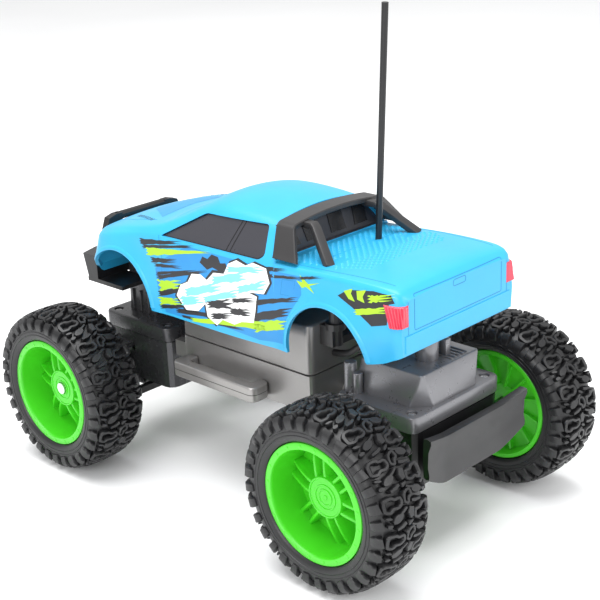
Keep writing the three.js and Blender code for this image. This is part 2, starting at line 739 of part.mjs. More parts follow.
// The closed outer form, drawn in by a skin's depth. Below the sill it drops by `drop`.
function bodyForm(skin, drop) {
  const rings = SECTIONS.map(([x, sill, side, shoulderY, shoulderZ, edgeY, edgeZ, crown], i) => {
    const inX = i === 0 ? -skin : i === SECTIONS.length - 1 ? skin : 0;
    const half = [
      [side - skin, sill - drop],
      [side - skin, (sill + shoulderZ) / 2 + 4],
      [shoulderY - skin, shoulderZ - skin * 0.4],
      [edgeY - skin * 0.8, edgeZ - skin * 0.8],
      [edgeY - 5, (edgeZ * 2 + crown) / 3 - skin],
      [edgeY / 2, crown - 0.3 - skin],
    ];
    const ring = half.concat([[0, crown - skin]]).concat([...half].reverse().map(([y, z]) => [-y, z]));
    return ring.map(([y, z]) => [x + inX, y, z]);
  });
  const n = rings[0].length;
  const position = rings.flat(2);
  const index = [];
  for (let i = 0; i + 1 < rings.length; i++) {
    for (let j = 0; j < n; j++) {
      const a = i * n + j;
      const b = i * n + ((j + 1) % n);
      index.push(a, a + n, b, b, a + n, b + n);
    }
  }
  const last = (rings.length - 1) * n;
  for (let j = 1; j + 1 < n; j++) {
    index.push(0, j, j + 1);
    index.push(last, last + j + 1, last + j);
  }
  const g = new THREE.BufferGeometry();
  g.setAttribute("position", new THREE.Float32BufferAttribute(position, 3));
  g.setIndex(index);
  return solid(g);
}

const archCut = ({ x, z, r }) =>
  rod("y", [x, z], r, -80, 80, 24).add(block([x - r, -80, 60], [x + r, 80, z]));

// Window outlines. The side pane is drawn in XZ and the windscreen and rear pane in YZ.
const SIDE_WINDOW = [
  [45.5, 143.6],
  [17, 158.8],
  [-28.5, 160],
  [-32.5, 146.5],
  [-28.5, 143.8],
];
const WINDSCREEN = [
  [-37.5, 149.6],
  [-29, 162.4],
  [29, 162.4],
  [37.5, 149.6],
];

function inset(points, d) {
  const cx = points.reduce((s, p) => s + p[0], 0) / points.length;
  const cz = points.reduce((s, p) => s + p[1], 0) / points.length;
  return points.map(([x, z]) => {
    const away = Math.hypot(x - cx, z - cz);
    return [x + ((cx - x) / away) * d, z + ((cz - z) / away) * d];
  });
}

// An outline in the YZ plane, extruded along X from x0 to x1.
function frontPrism(points, x0, x1) {
  const shape = new THREE.Shape(points.map(([y, z]) => new THREE.Vector2(y, z)));
  const g = new THREE.ExtrudeGeometry(shape, { depth: x1 - x0, bevelEnabled: false });
  g.rotateX(Math.PI / 2).rotateZ(Math.PI / 2);
  return solid(g.translate(x0, 0, 0));
}

const outerForm = bodyForm(0, 0);
const sideGlass = (d) => sidePrism(inset(SIDE_WINDOW, d), -60, 60);
const frontGlass = (d) => frontPrism(inset(WINDSCREEN, d), 16, 60);
const cabBack = block([CAB_REAR_X - 0.6, -60, 146.2], [ROOF_REAR_X - 0.3, 60, 180]);

part(
  "body_shell",
  outerForm
    .subtract(bodyForm(BODY_SKIN, 6))
    .subtract(archCut(FRONT_ARCH))
    .subtract(archCut(REAR_ARCH))
    .subtract(sideGlass(0))
    .subtract(frontGlass(0))
    .subtract(cabBack)
    .subtract(block([CAB_REAR_X - 0.6, -39, 140], [ROOF_REAR_X, 39, 180]))
    .subtract(rod("z", [-61.5, -13], 3.2, 135, 160)),
  BLUE,
);

// The dark glazing moulding: a liner under the cab whose panes stand in the window openings.
const liner = bodyForm(BODY_SKIN + GAP + 0.2, 6)
  .subtract(bodyForm(BODY_SKIN + GAP + 1.6, 7))
  .intersect(block([ROOF_REAR_X - 8, -60, 139.5], [59, 60, 180]));
const panes = bodyForm(0.7, 6)
  .subtract(bodyForm(BODY_SKIN + GAP + 1.2, 7))
  .intersect(sideGlass(GAP).add(frontGlass(GAP).intersect(block([16, -60, 130], [70, 60, 190]))));
// The wall behind the seats stands in the hoop's opening.
const backWall = frontPrism(
  [
    [-38, 139.5],
    [-38, 147],
    [-27.5, 157.5],
    [27.5, 157.5],
    [38, 147],
    [38, 139.5],
  ],
  ROOF_REAR_X - 8,
  ROOF_REAR_X - 6,
);
const openBack = block([ROOF_REAR_X - 9, -60, 147], [ROOF_REAR_X - 0.2, 60, 180]);
part(
  "window_liner",
  liner
    .add(panes)
    .subtract(openBack)
    .add(backWall)
    .add(block([ROOF_REAR_X - 7, -27, 154], [ROOF_REAR_X + 4, 27, 157.5])),
  CLEAR_GREY,
);

// The roll bar: a hoop behind the cab and two raked stays down to the bed.
function rollBar() {
  const hoopHalf = (dy, dz) => [
    [44.8 - dy, 146.4 + 0.3],
    [33.2 - dy, 162.6 - dz],
    [28 - dy, 165.2 - dz],
    [0, 166 - dz],
  ];
  const outer = hoopHalf(0, 0);
  const inner = hoopHalf(3.6, 3);
  const ring = outer.concat(inner.slice().reverse());
  const lean = (y, z, x) => [x - (1 - Math.min(1, (z - 146) / 16.5)) * 10, y, z];
  let hoop = null;
  for (let i = 0; i + 1 < outer.length; i++) {
    const points = [];
    for (const [y, z] of [outer[i], outer[i + 1], inner[i], inner[i + 1]]) {
      points.push(lean(y, z, ROOF_REAR_X - GAP - 0.4));
      const [x1, y1, z1] = lean(y, z, CAB_REAR_X);
      points.push([x1 - (z < 150 ? 2.5 : 0), y1, z1]);
    }
    const piece = wrap(points);
    hoop = hoop ? hoop.add(piece) : piece;
  }
  const stay = wrap([
    [-43, 24, 158.5],
    [-43, 29, 158.5],
    [-43, 24, 162.5],
    [-43, 29, 162.5],
    [-52, 24.5, 158.5],
    [-52, 29.5, 158.5],
    [-53, 24.5, 162.5],
    [-53, 29.5, 162.5],
  ]).add(
    wrap([
      [-49, 24.5, 162.3],
      [-49, 29.5, 162.3],
      [-54, 24.5, 162.3],
      [-54, 29.5, 162.3],
      [-66, 32.5, 146.9],
      [-66, 37.5, 146.9],
      [-72, 32.5, 146.9],
      [-72, 37.5, 146.9],
    ]),
  );
  return bothSides(hoop.add(stay)).subtract(block([-80, -50, 130], [-30, 50, 146.8]));
}
part("roll_bar", rollBar(), GRAPHITE);

// Tail lamps wrap the rear corners of the body.
const lampBlock = block([-125, 37, 127.5], [-116, 50, 140.5]);
const lamp = bodyForm(-0.9, 0).subtract(bodyForm(-GAP, 0)).intersect(lampBlock);
part("left_tail_lamp", lamp, RED);
part("right_tail_lamp", mirrored(lamp), RED);

part("antenna", rod("z", [-61.5, -13], 2.1, 141, 270, 10).transform(
  // The rod leans back and a little outwards, about its foot.
  [1, 0, 0, 0, 0, 1, 0, 0, -0.06, 0, 1, 0, 0.06 * 146, 0, 0, 1],
), BLACK);

// The front guard hoop and the bumper tray, with posts to the body's nose.
function frontGuard() {
  const hoop = [
    [114.5, 27, 116],
    [116, 27, 128],
    [116, 24.5, 134.5],
    [116, 19, 136],
  ];
  let made = rod("y", [116, 136], 2.6, -19.5, 19.5, 10);
  for (let i = 0; i + 1 < hoop.length; i++) {
    const link = [];
    for (const [x, y, z] of [hoop[i], hoop[i + 1]]) {
      for (const dx of [-2.4, 2.4]) {
        link.push([x + dx, y - 2.2, z - 2], [x + dx, y + 2.2, z - 2]);
        link.push([x + dx, y - 2.2, z + 2], [x + dx, y + 2.2, z + 2]);
      }
    }
    made = made.add(bothSides(wrap(link)));
  }
  const tray = block([90, -40, 100], [122, 40, 102.5]);
  const beam = wrap([
    [112.6, 40, 101],
    [112.6, 40, 117],
    [112.6, -40, 101],
    [112.6, -40, 117],
    [121, 40, 101],
    [125, 40, 116.5],
    [121, -40, 101],
    [125, -40, 116.5],
    [125.5, 28, 100],
    [129, 28, 116.5],
    [125.5, -28, 100],
    [129, -28, 116.5],
  ]);
  return made.add(tray).add(beam).subtract(block([85, -18.8, 90], [117.2, 18.8, 108]));
}
part("front_bumper_guard", frontGuard(), BLACK);

// The two rear body posts stand on a bracket at the battery box's back edge.
function rearBodyMount() {
  const post = rod("z", [-57, 17], 3.6, 96, 140).add(rod("z", [-57, 17], 5.6, 105, 108.5));
  return bothSides(post)
    .add(block([BOX.rear - 9, -22, 96], [BOX.rear - GAP, 22, 100]))
    .add(bothSides(block([BOX.rear - 9, 19, 97], [BOX.rear - 0.3, 22, 107])));
}
part("rear_body_mount", rearBodyMount(), GRAPHITE);

// ---------------------------------------------------------------- set the origin under the middle
const span = new THREE.Box3().setFromObject(car);
const middle = (span.min.x + span.max.x) / 2;
car.children.forEach((mesh) => mesh.position.set(-middle, 0, 0));

export default car;
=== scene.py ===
import math
import random

import bmesh
import bpy
from mathutils import Matrix, Vector
from mathutils.bvhtree import BVHTree


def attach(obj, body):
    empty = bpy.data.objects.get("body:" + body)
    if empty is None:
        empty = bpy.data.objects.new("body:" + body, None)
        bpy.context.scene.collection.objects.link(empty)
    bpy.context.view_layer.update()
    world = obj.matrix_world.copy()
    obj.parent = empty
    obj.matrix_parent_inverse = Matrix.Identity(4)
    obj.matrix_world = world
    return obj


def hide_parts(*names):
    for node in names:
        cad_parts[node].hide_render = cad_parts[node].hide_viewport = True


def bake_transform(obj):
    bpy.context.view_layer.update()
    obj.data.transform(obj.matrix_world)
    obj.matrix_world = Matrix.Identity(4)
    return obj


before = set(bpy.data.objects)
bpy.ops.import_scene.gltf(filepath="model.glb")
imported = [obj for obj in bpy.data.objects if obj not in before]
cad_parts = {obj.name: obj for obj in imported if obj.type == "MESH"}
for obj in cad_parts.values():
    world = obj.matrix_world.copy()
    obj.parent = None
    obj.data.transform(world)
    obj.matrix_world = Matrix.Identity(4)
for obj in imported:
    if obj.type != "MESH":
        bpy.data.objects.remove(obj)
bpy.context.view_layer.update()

MM = 0.001
SCENE = bpy.context.scene


# ---------------------------------------------------------------- materials
def node_material(name):
    mat = bpy.data.materials.new(name)
    mat.use_nodes = True
    return mat, mat.node_tree, mat.node_tree.nodes["Principled BSDF"]


def noise_node(tree, coord, scale, detail=2.0, rough=0.5):
    n = tree.nodes.new("ShaderNodeTexNoise")
    n.inputs["Scale"].default_value = scale
    n.inputs["Detail"].default_value = detail
    n.inputs["Roughness"].default_value = rough
    tree.links.new(coord, n.inputs["Vector"])
    return n.outputs["Fac"]


def ramp_node(tree, factor, stops):
    r = tree.nodes.new("ShaderNodeValToRGB")
    ramp = r.color_ramp
    while len(ramp.elements) < len(stops):
        ramp.elements.new(0.5)
    for e, (place, colour) in zip(ramp.elements, stops):
        e.position = place
        e.color = (*colour, 1)
    tree.links.new(factor, r.inputs["Fac"])
    return r.outputs["Color"]


def range_node(tree, factor, low, high):
    m = tree.nodes.new("ShaderNodeMapRange")
    m.inputs["To Min"].default_value = low
    m.inputs["To Max"].default_value = high
    tree.links.new(factor, m.inputs["Value"])
    return m.outputs["Result"]


def moulded(
    name, colour, rough, grain=2600, depth=0.00004, strength=0.35, vary=0.08, metal=0.0, coat=0.0,
    coat_rough=0.2, flake=0.0,
):
    """Moulded plastic, rubber or painted plastic: fine grain, slow colour drift and uneven gloss."""
    mat, tree, bsdf = node_material(name)
    coord = tree.nodes.new("ShaderNodeTexCoord").outputs["Object"]
    drift = noise_node(tree, coord, 38, 3, 0.6)
    dark = tuple(c * (1 - vary) for c in colour)
    light = tuple(min(1, c * (1 + vary)) for c in colour)
    base = ramp_node(tree, drift, [(0.3, dark), (0.7, light)])
    if flake:
        spots = noise_node(tree, coord, 4200, 1, 0.5)
        glint = ramp_node(tree, spots, [(0.45, (1 - flake,) * 3), (0.62, (1, 1, 1))])
        mix = tree.nodes.new("ShaderNodeMix")
        mix.data_type = "RGBA"
        mix.blend_type = "MULTIPLY"
        mix.inputs[0].default_value = 1.0
        tree.links.new(base, mix.inputs[6])
        tree.links.new(glint, mix.inputs[7])
        base = mix.outputs[2]
    tree.links.new(base, bsdf.inputs["Base Color"])
    smear = noise_node(tree, coord, 150, 4, 0.65)
    tree.links.new(range_node(tree, smear, rough - 0.07, rough + 0.07), bsdf.inputs["Roughness"])
    fine = noise_node(tree, coord, grain, 2, 0.6)
    bump = tree.nodes.new("ShaderNodeBump")
    bump.inputs["Strength"].default_value = strength
    bump.inputs["Distance"].default_value = depth
    tree.links.new(fine, bump.inputs["Height"])
    tree.links.new(bump.outputs["Normal"], bsdf.inputs["Normal"])
    bsdf.inputs["Metallic"].default_value = metal
    bsdf.inputs["Coat Weight"].default_value = coat
    bsdf.inputs["Coat Roughness"].default_value = coat_rough
    return mat


def metal(name, colour, rough, scratch=900):
    mat, tree, bsdf = node_material(name)
    coord = tree.nodes.new("ShaderNodeTexCoord").outputs["Object"]
    lines = noise_node(tree, coord, scratch, 4, 0.7)
    tree.links.new(
        ramp_node(tree, lines, [(0.3, tuple(c * 0.8 for c in colour)), (0.7, colour)]),
        bsdf.inputs["Base Color"],
    )
    tree.links.new(range_node(tree, lines, rough - 0.08, rough + 0.12), bsdf.inputs["Roughness"])
    bump = tree.nodes.new("ShaderNodeBump")
    bump.inputs["Strength"].default_value = 0.2
    bump.inputs["Distance"].default_value = 0.00003
    tree.links.new(lines, bump.inputs["Height"])
    tree.links.new(bump.outputs["Normal"], bsdf.inputs["Normal"])
    bsdf.inputs["Metallic"].default_value = 1.0
    return mat


BLUE = moulded(
    "body_blue", (0.024, 0.370, 0.660), 0.36, grain=3200, depth=0.00002, vary=0.04, coat=0.12, coat_rough=0.3
)
BLUE_DARK = moulded("panel_line", (0.010, 0.190, 0.420), 0.6, vary=0.05)
GRAPHITE = moulded("graphite", (0.026, 0.025, 0.026), 0.38, grain=2200, depth=0.00005, vary=0.10)
STEP_GREY = moulded("step_grey", (0.330, 0.318, 0.310), 0.30, grain=3000, vary=0.06, metal=0.55, flake=0.1)
BOX_GREY = moulded("box_grey", (0.290, 0.280, 0.276), 0.31, grain=3000, vary=0.06, metal=0.55, flake=0.1)
POD_GREY = moulded("pod_grey", (0.215, 0.215, 0.228), 0.29, grain=3000, vary=0.06, metal=0.55, flake=0.1)
FRONT_POD = moulded(
    "front_pod_grey", (0.070, 0.070, 0.075), 0.28, grain=2800, vary=0.08, metal=0.5, flake=0.1
)
# Black moulding, also used as painted shade for the hood vent slots.
BLACK_MOULDING_AND_SHADE = moulded("black_moulding_and_painted_shade", (0.008, 0.008, 0.009), 0.36, grain=2000, depth=0.00005, vary=0.15)
BUMPER = moulded(
    "bumper_black", (0.010, 0.010, 0.011), 0.38, grain=1400, depth=0.00008, strength=0.5, vary=0.15
)
RUBBER = moulded(
    "tyre_rubber", (0.0085, 0.0085, 0.0095), 0.40, grain=1300, depth=0.00010, strength=0.45, vary=0.18
)
GREEN = moulded("rim_green", (0.060, 0.560, 0.016), 0.34, grain=3200, depth=0.00002, vary=0.05, coat=0.1)
RED = moulded("lamp_red", (0.640, 0.035, 0.075), 0.24, grain=900, vary=0.08, coat=0.5, coat_rough=0.1)
GLASS = moulded("window_grey", (0.036, 0.036, 0.044), 0.30, grain=2400, depth=0.00002, vary=0.05)
PANE = moulded("pane_black", (0.010, 0.010, 0.012), 0.25, vary=0.1)
LOOM = moulded("loom_black", (0.012, 0.012, 0.013), 0.45, grain=1600, vary=0.15)
STEEL = metal("screw_steel", (0.82, 0.82, 0.83), 0.38)
DARK_STEEL = metal("dark_steel", (0.30, 0.30, 0.31), 0.35)
WHITE = moulded("gear_white", (0.780, 0.770, 0.720), 0.45, vary=0.04)
BOARD = moulded("board_green", (0.020, 0.140, 0.050), 0.45, grain=900, depth=0.00010, vary=0.15)
CELL = moulded("cell_wrap", (0.030, 0.045, 0.070), 0.3, vary=0.10, coat=0.4)
INK_DARK = moulded("decal_charcoal", (0.016, 0.016, 0.019), 0.42, vary=0.12)
INK_LIME = moulded("decal_lime", (0.360, 0.620, 0.016), 0.42, vary=0.06)
INK_MID = moulded("decal_blue", (0.016, 0.235, 0.560), 0.42, vary=0.08)
INK_PALE = moulded("decal_pale_blue", (0.200, 0.640, 0.820), 0.42, vary=0.05)
INK_WHITE = moulded("decal_white", (0.880, 0.890, 0.890), 0.42, vary=0.03)


# ---------------------------------------------------------------- mesh helpers (millimetres)
def new_object(name, verts, faces):
    mesh = bpy.data.meshes.new(name)
    mesh.from_pydata([(x * MM, y * MM, z * MM) for x, y, z in verts], [], faces)
    bm = bmesh.new()
    bm.from_mesh(mesh)
    bmesh.ops.remove_doubles(bm, verts=bm.verts, dist=1e-7)
    bmesh.ops.recalc_face_normals(bm, faces=bm.faces)
    bm.to_mesh(mesh)
    bm.free()
    ob = bpy.data.objects.new(name, mesh)
    SCENE.collection.objects.link(ob)
    return ob


def apply_modifiers(ob):
    bpy.context.view_layer.update()
    graph = bpy.context.evaluated_depsgraph_get()
    mesh = bpy.data.meshes.new_from_object(ob.evaluated_get(graph))
    ob.modifiers.clear()
    ob.data = mesh
    return ob


def cut_away(ob, tools):
    for t in tools:
        m = ob.modifiers.new("cut", "BOOLEAN")
        m.operation = "DIFFERENCE"
        m.object = t
        m.solver = "EXACT"
    apply_modifiers(ob)
    for t in tools:
        bpy.data.objects.remove(t)
    return ob


def bevel(ob, width, segments=2, angle=35):
    m = ob.modifiers.new("bevel", "BEVEL")
    m.width = width * MM
    m.segments = segments
    m.limit_method = "ANGLE"
    m.angle_limit = math.radians(angle)
    m.harden_normals = False
    apply_modifiers(ob)
    return ob


def smooth(ob, angle=38):
    ob.data.polygons.foreach_set("use_smooth", [True] * len(ob.data.polygons))
    ob.data.set_sharp_from_angle(angle=math.radians(angle))
    return ob


def done(ob, mat, body, slot, *nodes, angle=38):
    """Gives a finished piece its material and its body, and hides the CAD nodes it stands for; slot is not
    used.
    """
    ob.data.materials.clear()
    ob.data.materials.append(mat)
    smooth(ob, angle)
    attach(ob, body)
    if nodes:
        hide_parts(*nodes)
    return ob


def mirrored(ob, name):
    """A copy on the car's other side."""
    mesh = ob.data.copy()
    mesh.transform(Matrix.Scale(-1, 4, (0, 1, 0)))
    mesh.flip_normals()
    copy = bpy.data.objects.new(name, mesh)
    SCENE.collection.objects.link(copy)
    return copy


def join(name, obs):
    bm = bmesh.new()
    for o in obs:
        bm.from_mesh(o.data)
    mesh = bpy.data.meshes.new(name)
    bm.to_mesh(mesh)
    bm.free()
    for o in obs:
        bpy.data.objects.remove(o)
    ob = bpy.data.objects.new(name, mesh)
    SCENE.collection.objects.link(ob)
    return ob


def box(name, low, high):
    (x0, y0, z0), (x1, y1, z1) = low, high
    verts = [(x, y, z) for x in (x0, x1) for y in (y0, y1) for z in (z0, z1)]
    faces = [(0, 1, 3, 2), (4, 6, 7, 5), (0, 4, 5, 1), (2, 3, 7, 6), (0, 2, 6, 4), (1, 5, 7, 3)]
    return new_object(name, verts, faces)


def prism(name, outline, axis, a, b):
    """An outline of pairs, extruded along an axis from a to b."""
    def place(p, q, t):
        return {"x": (t, p, q), "y": (p, t, q), "z": (p, q, t)}[axis]

    n = len(outline)
    verts = [place(p, q, a) for p, q in outline] + [place(p, q, b) for p, q in outline]
    faces = [tuple(range(n)), tuple(range(2 * n - 1, n - 1, -1))]
    faces += [(i, (i + 1) % n, n + (i + 1) % n, n + i) for i in range(n)]
    return new_object(name, verts, faces)


def round_rect(x0, x1, y0, y1, r, steps=5):
    points = []
    centres = ((x1 - r, y1 - r), (x0 + r, y1 - r), (x0 + r, y0 + r), (x1 - r, y0 + r))
    for quarter, (cx, cy) in enumerate(centres):
        for i in range(steps + 1):
            a = (quarter + i / steps) * math.pi / 2
            points.append((cx + r * math.cos(a), cy + r * math.sin(a)))
    return points


def disc(cx, cy, r, n=24):
    turns = [2 * math.pi * i / n for i in range(n)]
    return [(cx + r * math.cos(a), cy + r * math.sin(a)) for a in turns]


def grid_faces(rows, columns, round_rows=False, round_columns=False):
    """Quads over a grid of vertices, wrapping round where asked."""
    faces = []
    for i in range(rows if round_rows else rows - 1):
        for j in range(columns if round_columns else columns - 1):
            i2, j2 = (i + 1) % rows, (j + 1) % columns
            faces.append((i * columns + j, i * columns + j2, i2 * columns + j2, i2 * columns + j))
    return faces


def loft(name, rings):
    """Closed rings joined in order, with a face over each end."""
    n = len(rings[0])
    verts = [p for ring in rings for p in ring]
    faces = grid_faces(len(rings), n, round_columns=True)
    faces.append(tuple(range(n)))
    faces.append(tuple((len(rings) - 1) * n + j for j in range(n)))
    return new_object(name, verts, faces)


def lathe(name, profile, x=0, z=0, n=96):
    """A closed profile of (radius, y) turned about the Y axis through (x, z)."""
    verts = []
    for i in range(n):
        a = 2 * math.pi * i / n
        verts += [(x + r * math.cos(a), y, z + r * math.sin(a)) for r, y in profile]
    return new_object(name, verts, grid_faces(n, len(profile), True, True))


def rounded(points, r, steps=4):
    """A closed outline with every corner rounded."""
    out = []
    n = len(points)
    for i in range(n):
        p, a, b = Vector(points[i]), Vector(points[i - 1]), Vector(points[(i + 1) % n])
        da, db = (a - p), (b - p)
        cut = min(r, da.length * 0.45, db.length * 0.45)
        s, e = p + da.normalized() * cut, p + db.normalized() * cut
        for k in range(steps + 1):
            t = k / steps
            q = s * (1 - t) ** 2 + p * 2 * t * (1 - t) + e * t * t
            out.append((q.x, q.y))
    return out


def spline(points, count):
    """Catmull-Rom through the points."""
    pts = [Vector(p) for p in points]
    pts = [pts[0] * 2 - pts[1]] + pts + [pts[-1] * 2 - pts[-2]]
    spans = len(pts) - 3
    out = []
    for i in range(count):
        t = i / (count - 1) * spans
        k = min(int(t), spans - 1)
        u = t - k
        a, b, c, d = pts[k : k + 4]
        square = 2 * a - 5 * b + 4 * c - d
        cube = 3 * b - a - 3 * c + d
        out.append(0.5 * (2 * b + (c - a) * u + square * u * u + cube * u**3))
    return out


def tube(name, path, r, n=14):
    """A round tube along a path."""
    path = [Vector(p) for p in path]
    rings = []
    up = Vector((0, 1, 0.01))
    for i, p in enumerate(path):
        t = (path[min(i + 1, len(path) - 1)] - path[max(i - 1, 0)]).normalized()
        side = t.cross(up).normalized()
        over = side.cross(t).normalized()
        up = over
        rings.append([tuple(p + side * a + over * b) for a, b in disc(0, 0, r, n)])
    return loft(name, rings)


# ---------------------------------------------------------------- wheels
AXLE_X, AXLE_Z = 104.0, 48.0
MID_Y = 73.0
TREAD_R = 46.5
TREAD_CELLS = 16
LUG_HEIGHT = 3.0
# The tyre's outline: across from the middle, then radius.
CARCASS = [
    (0, 45.0), (4, 44.95), (8, 44.75), (11, 44.3), (13.5, 43.5), (15.3, 42.2), (16.4, 40.6), (16.9, 38.6),
    (17.1, 36.4),
]


def carcass_at(u):
    """Across, radius and outward normal at an arc length u from the tread's middle line."""
    left = abs(u)
    sign = 1 if u >= 0 else -1
    for (t0, r0), (t1, r1) in zip(CARCASS, CARCASS[1:]):
        length = math.hypot(t1 - t0, r1 - r0)
        if left <= length or (t1, r1) == CARCASS[-1]:
            f = min(left / length, 1.6)
            t, r = t0 + (t1 - t0) * f, r0 + (r1 - r0) * f
            nt, nr = -(r1 - r0) / length, (t1 - t0) / length
            return sign * t, r, sign * nt, nr
        left -= length
    return sign * CARCASS[-1][0], CARCASS[-1][1], sign, 0.0


def on_tyre(s, u, h):
    """A point h above the carcass, s round it and u across it, with the normals blended at the shoulder."""
    t, r, nt, nr = carcass_at(u)
    nt1, nr1 = carcass_at(u + 1.2)[2:]
    nt2, nr2 = carcass_at(u - 1.2)[2:]
    nt, nr = (nt + nt1 + nt2) / 3, (nr + nr1 + nr2) / 3
    k = math.hypot(nt, nr) or 1
    radius = r + nr / k * h
    across = MID_Y + max(-17.95, min(17.95, t + nt / k * h))
    radius = min(radius, 47.98)
    a = s / TREAD_R
    return (radius * math.cos(a), across, radius * math.sin(a))


def section(w, h):
    """Half widths and heights across a lug's rounded top."""
    edge = min(0.38, w * 0.4)
    return [(-w - 0.25, -0.9), (-w, h - 0.7), (-w + edge, h), (w - edge, h), (w, h - 0.7), (w + 0.25, -0.9)]


def lug(path, widths, heights, closed=False):
    """A raised strip on the carcass along a path of (s, u)."""
    pts = [Vector(p) for p in path]
    n = len(pts)
    rings = []
    for i, p in enumerate(pts):
        before = pts[i - 1] if (closed or i) else p
        after = pts[(i + 1) % n] if (closed or i < n - 1) else p
        d = (after - before).normalized()
        side = Vector((-d.y, d.x))
        ring = []
        for off, h in section(widths[i], heights[i]):
            q = p + side * off
            ring.append(on_tyre(q.x, q.y, h))
        rings.append(ring)
    if not closed:
        for end, sign in ((0, -1), (n - 1, 1)):
            p = pts[end]
            d = (pts[1] - pts[0]).normalized() if end == 0 else (pts[-1] - pts[-2]).normalized()
            side = Vector((-d.y, d.x))
            ring = []
            for off, h in section(widths[end], heights[end]):
                q = p + side * off + d * sign * 0.25
                ring.append(on_tyre(q.x, q.y, min(h, 0) - 0.9 if h > 0 else h))
            rings.insert(0 if end == 0 else len(rings), ring)
    verts = [v for ring in rings for v in ring]
    return verts, grid_faces(len(rings), len(rings[0]), round_rows=closed)


def oval(s, u, half_s, half_u, turn, h):
    """A solid oval stud."""
    steps = 7
    path, widths = [], []
    for i in range(steps):
        f = -0.92 + 1.84 * i / (steps - 1)
        d = Vector((math.sin(turn), math.cos(turn))) * half_u * f
        path.append((s + d.x, u + d.y))
        widths.append(half_s * math.sqrt(max(0.12, 1 - f * f)))
    return lug(path, widths, [h] * steps)


def ring_lug(points, half, h):
    """A closed outline in relief."""
    path = rounded(points, 2.2, 3)
    return lug([Vector(p) for p in path], [half] * len(path), [h] * len(path), closed=True)


def tyre_lugs(side, shift):
    """The relief on one half of the tread, over one cell."""
    def at(points):
        return [(s + shift, u * side) for s, u in points]

    h = LUG_HEIGHT
    made = []
    # The keyhole outline, widest towards the shoulder.
    keyhole = [
        (1.6, 13.0), (1.8, 9.2), (3.2, 7.6), (3.0, 4.2), (6.4, 3.4), (7.6, 6.4), (6.8, 9.0), (8.2, 10.6),
        (7.4, 13.4),
    ]
    made.append(ring_lug(at(keyhole), 0.95, h))
    # Shoulder blocks run down on to the sidewall.
    for s0, wide in ((4.6, 2.9), (13.6, 2.5)):
        us = [14.6, 15.8, 17.0, 18.2, 19.2, 20.0]
        hs = [h * 0.94, h * 0.9, 2.4, 1.9, 1.4, 0.7]
        ws = [wide, wide, wide, wide * 0.97, wide * 0.92, wide * 0.84]
        made.append(lug(at([(s0 + 0.12 * (u - 15), u) for u in us]), ws, hs))
    # The oval, the round stud and the bars between the columns.
    made.append(oval(12.4 + shift, 7.2 * side, 2.1, 3.4, 0.35 * side, h))
    made.append(oval(14.6 + shift, 12.0 * side, 1.25, 1.25, 0.0, h))
    made.append(oval(10.6 + shift, 12.2 * side, 0.9, 1.6, -0.4 * side, h))
    made.append(lug(at([(9.0, 1.2), (10.2, 3.4), (10.8, 5.4)]), [0.7, 0.75, 0.7], [h] * 3))
    made.append(lug(at([(16.2, 2.6), (17.0, 5.0), (17.4, 8.4)]), [0.9, 1.1, 0.8], [h] * 3))
    return made


def centre_lugs(shift):
    """The relief across the middle of the tread, over one cell."""
    h = LUG_HEIGHT
    kidney = [(1.0, -2.6), (2.4, 1.2), (6.6, 2.0), (7.6, -0.6), (5.2, -1.2), (4.6, -3.4)]
    made = [ring_lug([(s + shift, u) for s, u in kidney], 0.85, h)]
    block = [(s + shift, u) for s, u in ((10.0, -2.2), (12.4, -1.2), (14.8, -1.6))]
    made.append(lug(block, [1.5, 2.0, 1.5], [h] * 3))
    made.append(oval(17.0 + shift, -0.4, 1.0, 1.9, 0.5, h))
    return made


def tyre_mesh():
    verts, faces = [], []

    def add(piece):
        v, f = piece
        base = len(verts)
        verts.extend(v)
        faces.extend(tuple(i + base for i in q) for q in f)

    pitch = 2 * math.pi * TREAD_R / TREAD_CELLS
    for c in range(TREAD_CELLS):
        for piece in tyre_lugs(1, c * pitch):
            add(piece)
        for piece in tyre_lugs(-1, (c + 0.5) * pitch):
            add(piece)
        for piece in centre_lugs(c * pitch):
            add(piece)
    lugs = new_object("lugs", verts, faces)
    outer = [(r, MID_Y + t) for t, r in CARCASS]
    side = [(r, MID_Y + t) for r, t in ((34.6, 16.9), (33.2, 16.5), (32.3, 15.9), (31.8, 15.2), (31.8, 12.6))]
    half = outer + side
    inside = [(30.6, MID_Y + 11.4), (30.6, MID_Y - 11.4)]
    profile = half + inside + [(r, 2 * MID_Y - y) for r, y in reversed(half)][:-1]
    body = lathe("carcass", profile, n=144)
    # Fine rings moulded in the sidewall.
    rings = []
    for r, proud in ((35.4, 0.35), (37.2, 0.3)):
        for sign in (1, -1):
            y = MID_Y + sign * 16.95
            top = y + sign * proud
            ring = [(r - 0.35, y), (r - 0.15, top), (r + 0.15, top), (r + 0.35, y), (r, y - sign * 0.6)]
            rings.append(lathe("sidewall_ring", ring, n=120))
    return join("tyre", [lugs, body] + rings)


FACE_Y = 88.8
HUB_R = 9.8
SPOKE_PAIRS = 6


def radial(degrees):
    """A direction out from the axle and the one square to it."""
    a = math.radians(degrees)
    return Vector((math.cos(a), 0, math.sin(a))), Vector((-math.sin(a), 0, math.cos(a)))


def rim_barrel():
    f = FACE_Y
    return lathe("barrel", [
        (9.6, 68.8), (26.0, 68.8), (26.3, 74), (27.0, 82), (27.5, 86.8), (27.7, 88.3), (28.1, f), (30.9, f),
        (31.35, f - 0.3), (31.5, f - 0.9), (31.5, f - 2.4), (30.2, f - 3.6), (29.7, f - 6), (29.7, 63),
        (30.6, 60.6), (31.3, 59.6), (31.3, 58.4), (30.9, 58.0), (29.0, 58.0), (28.5, 58.6), (27.6, 66.4),
        (9.6, 66.4),
    ])


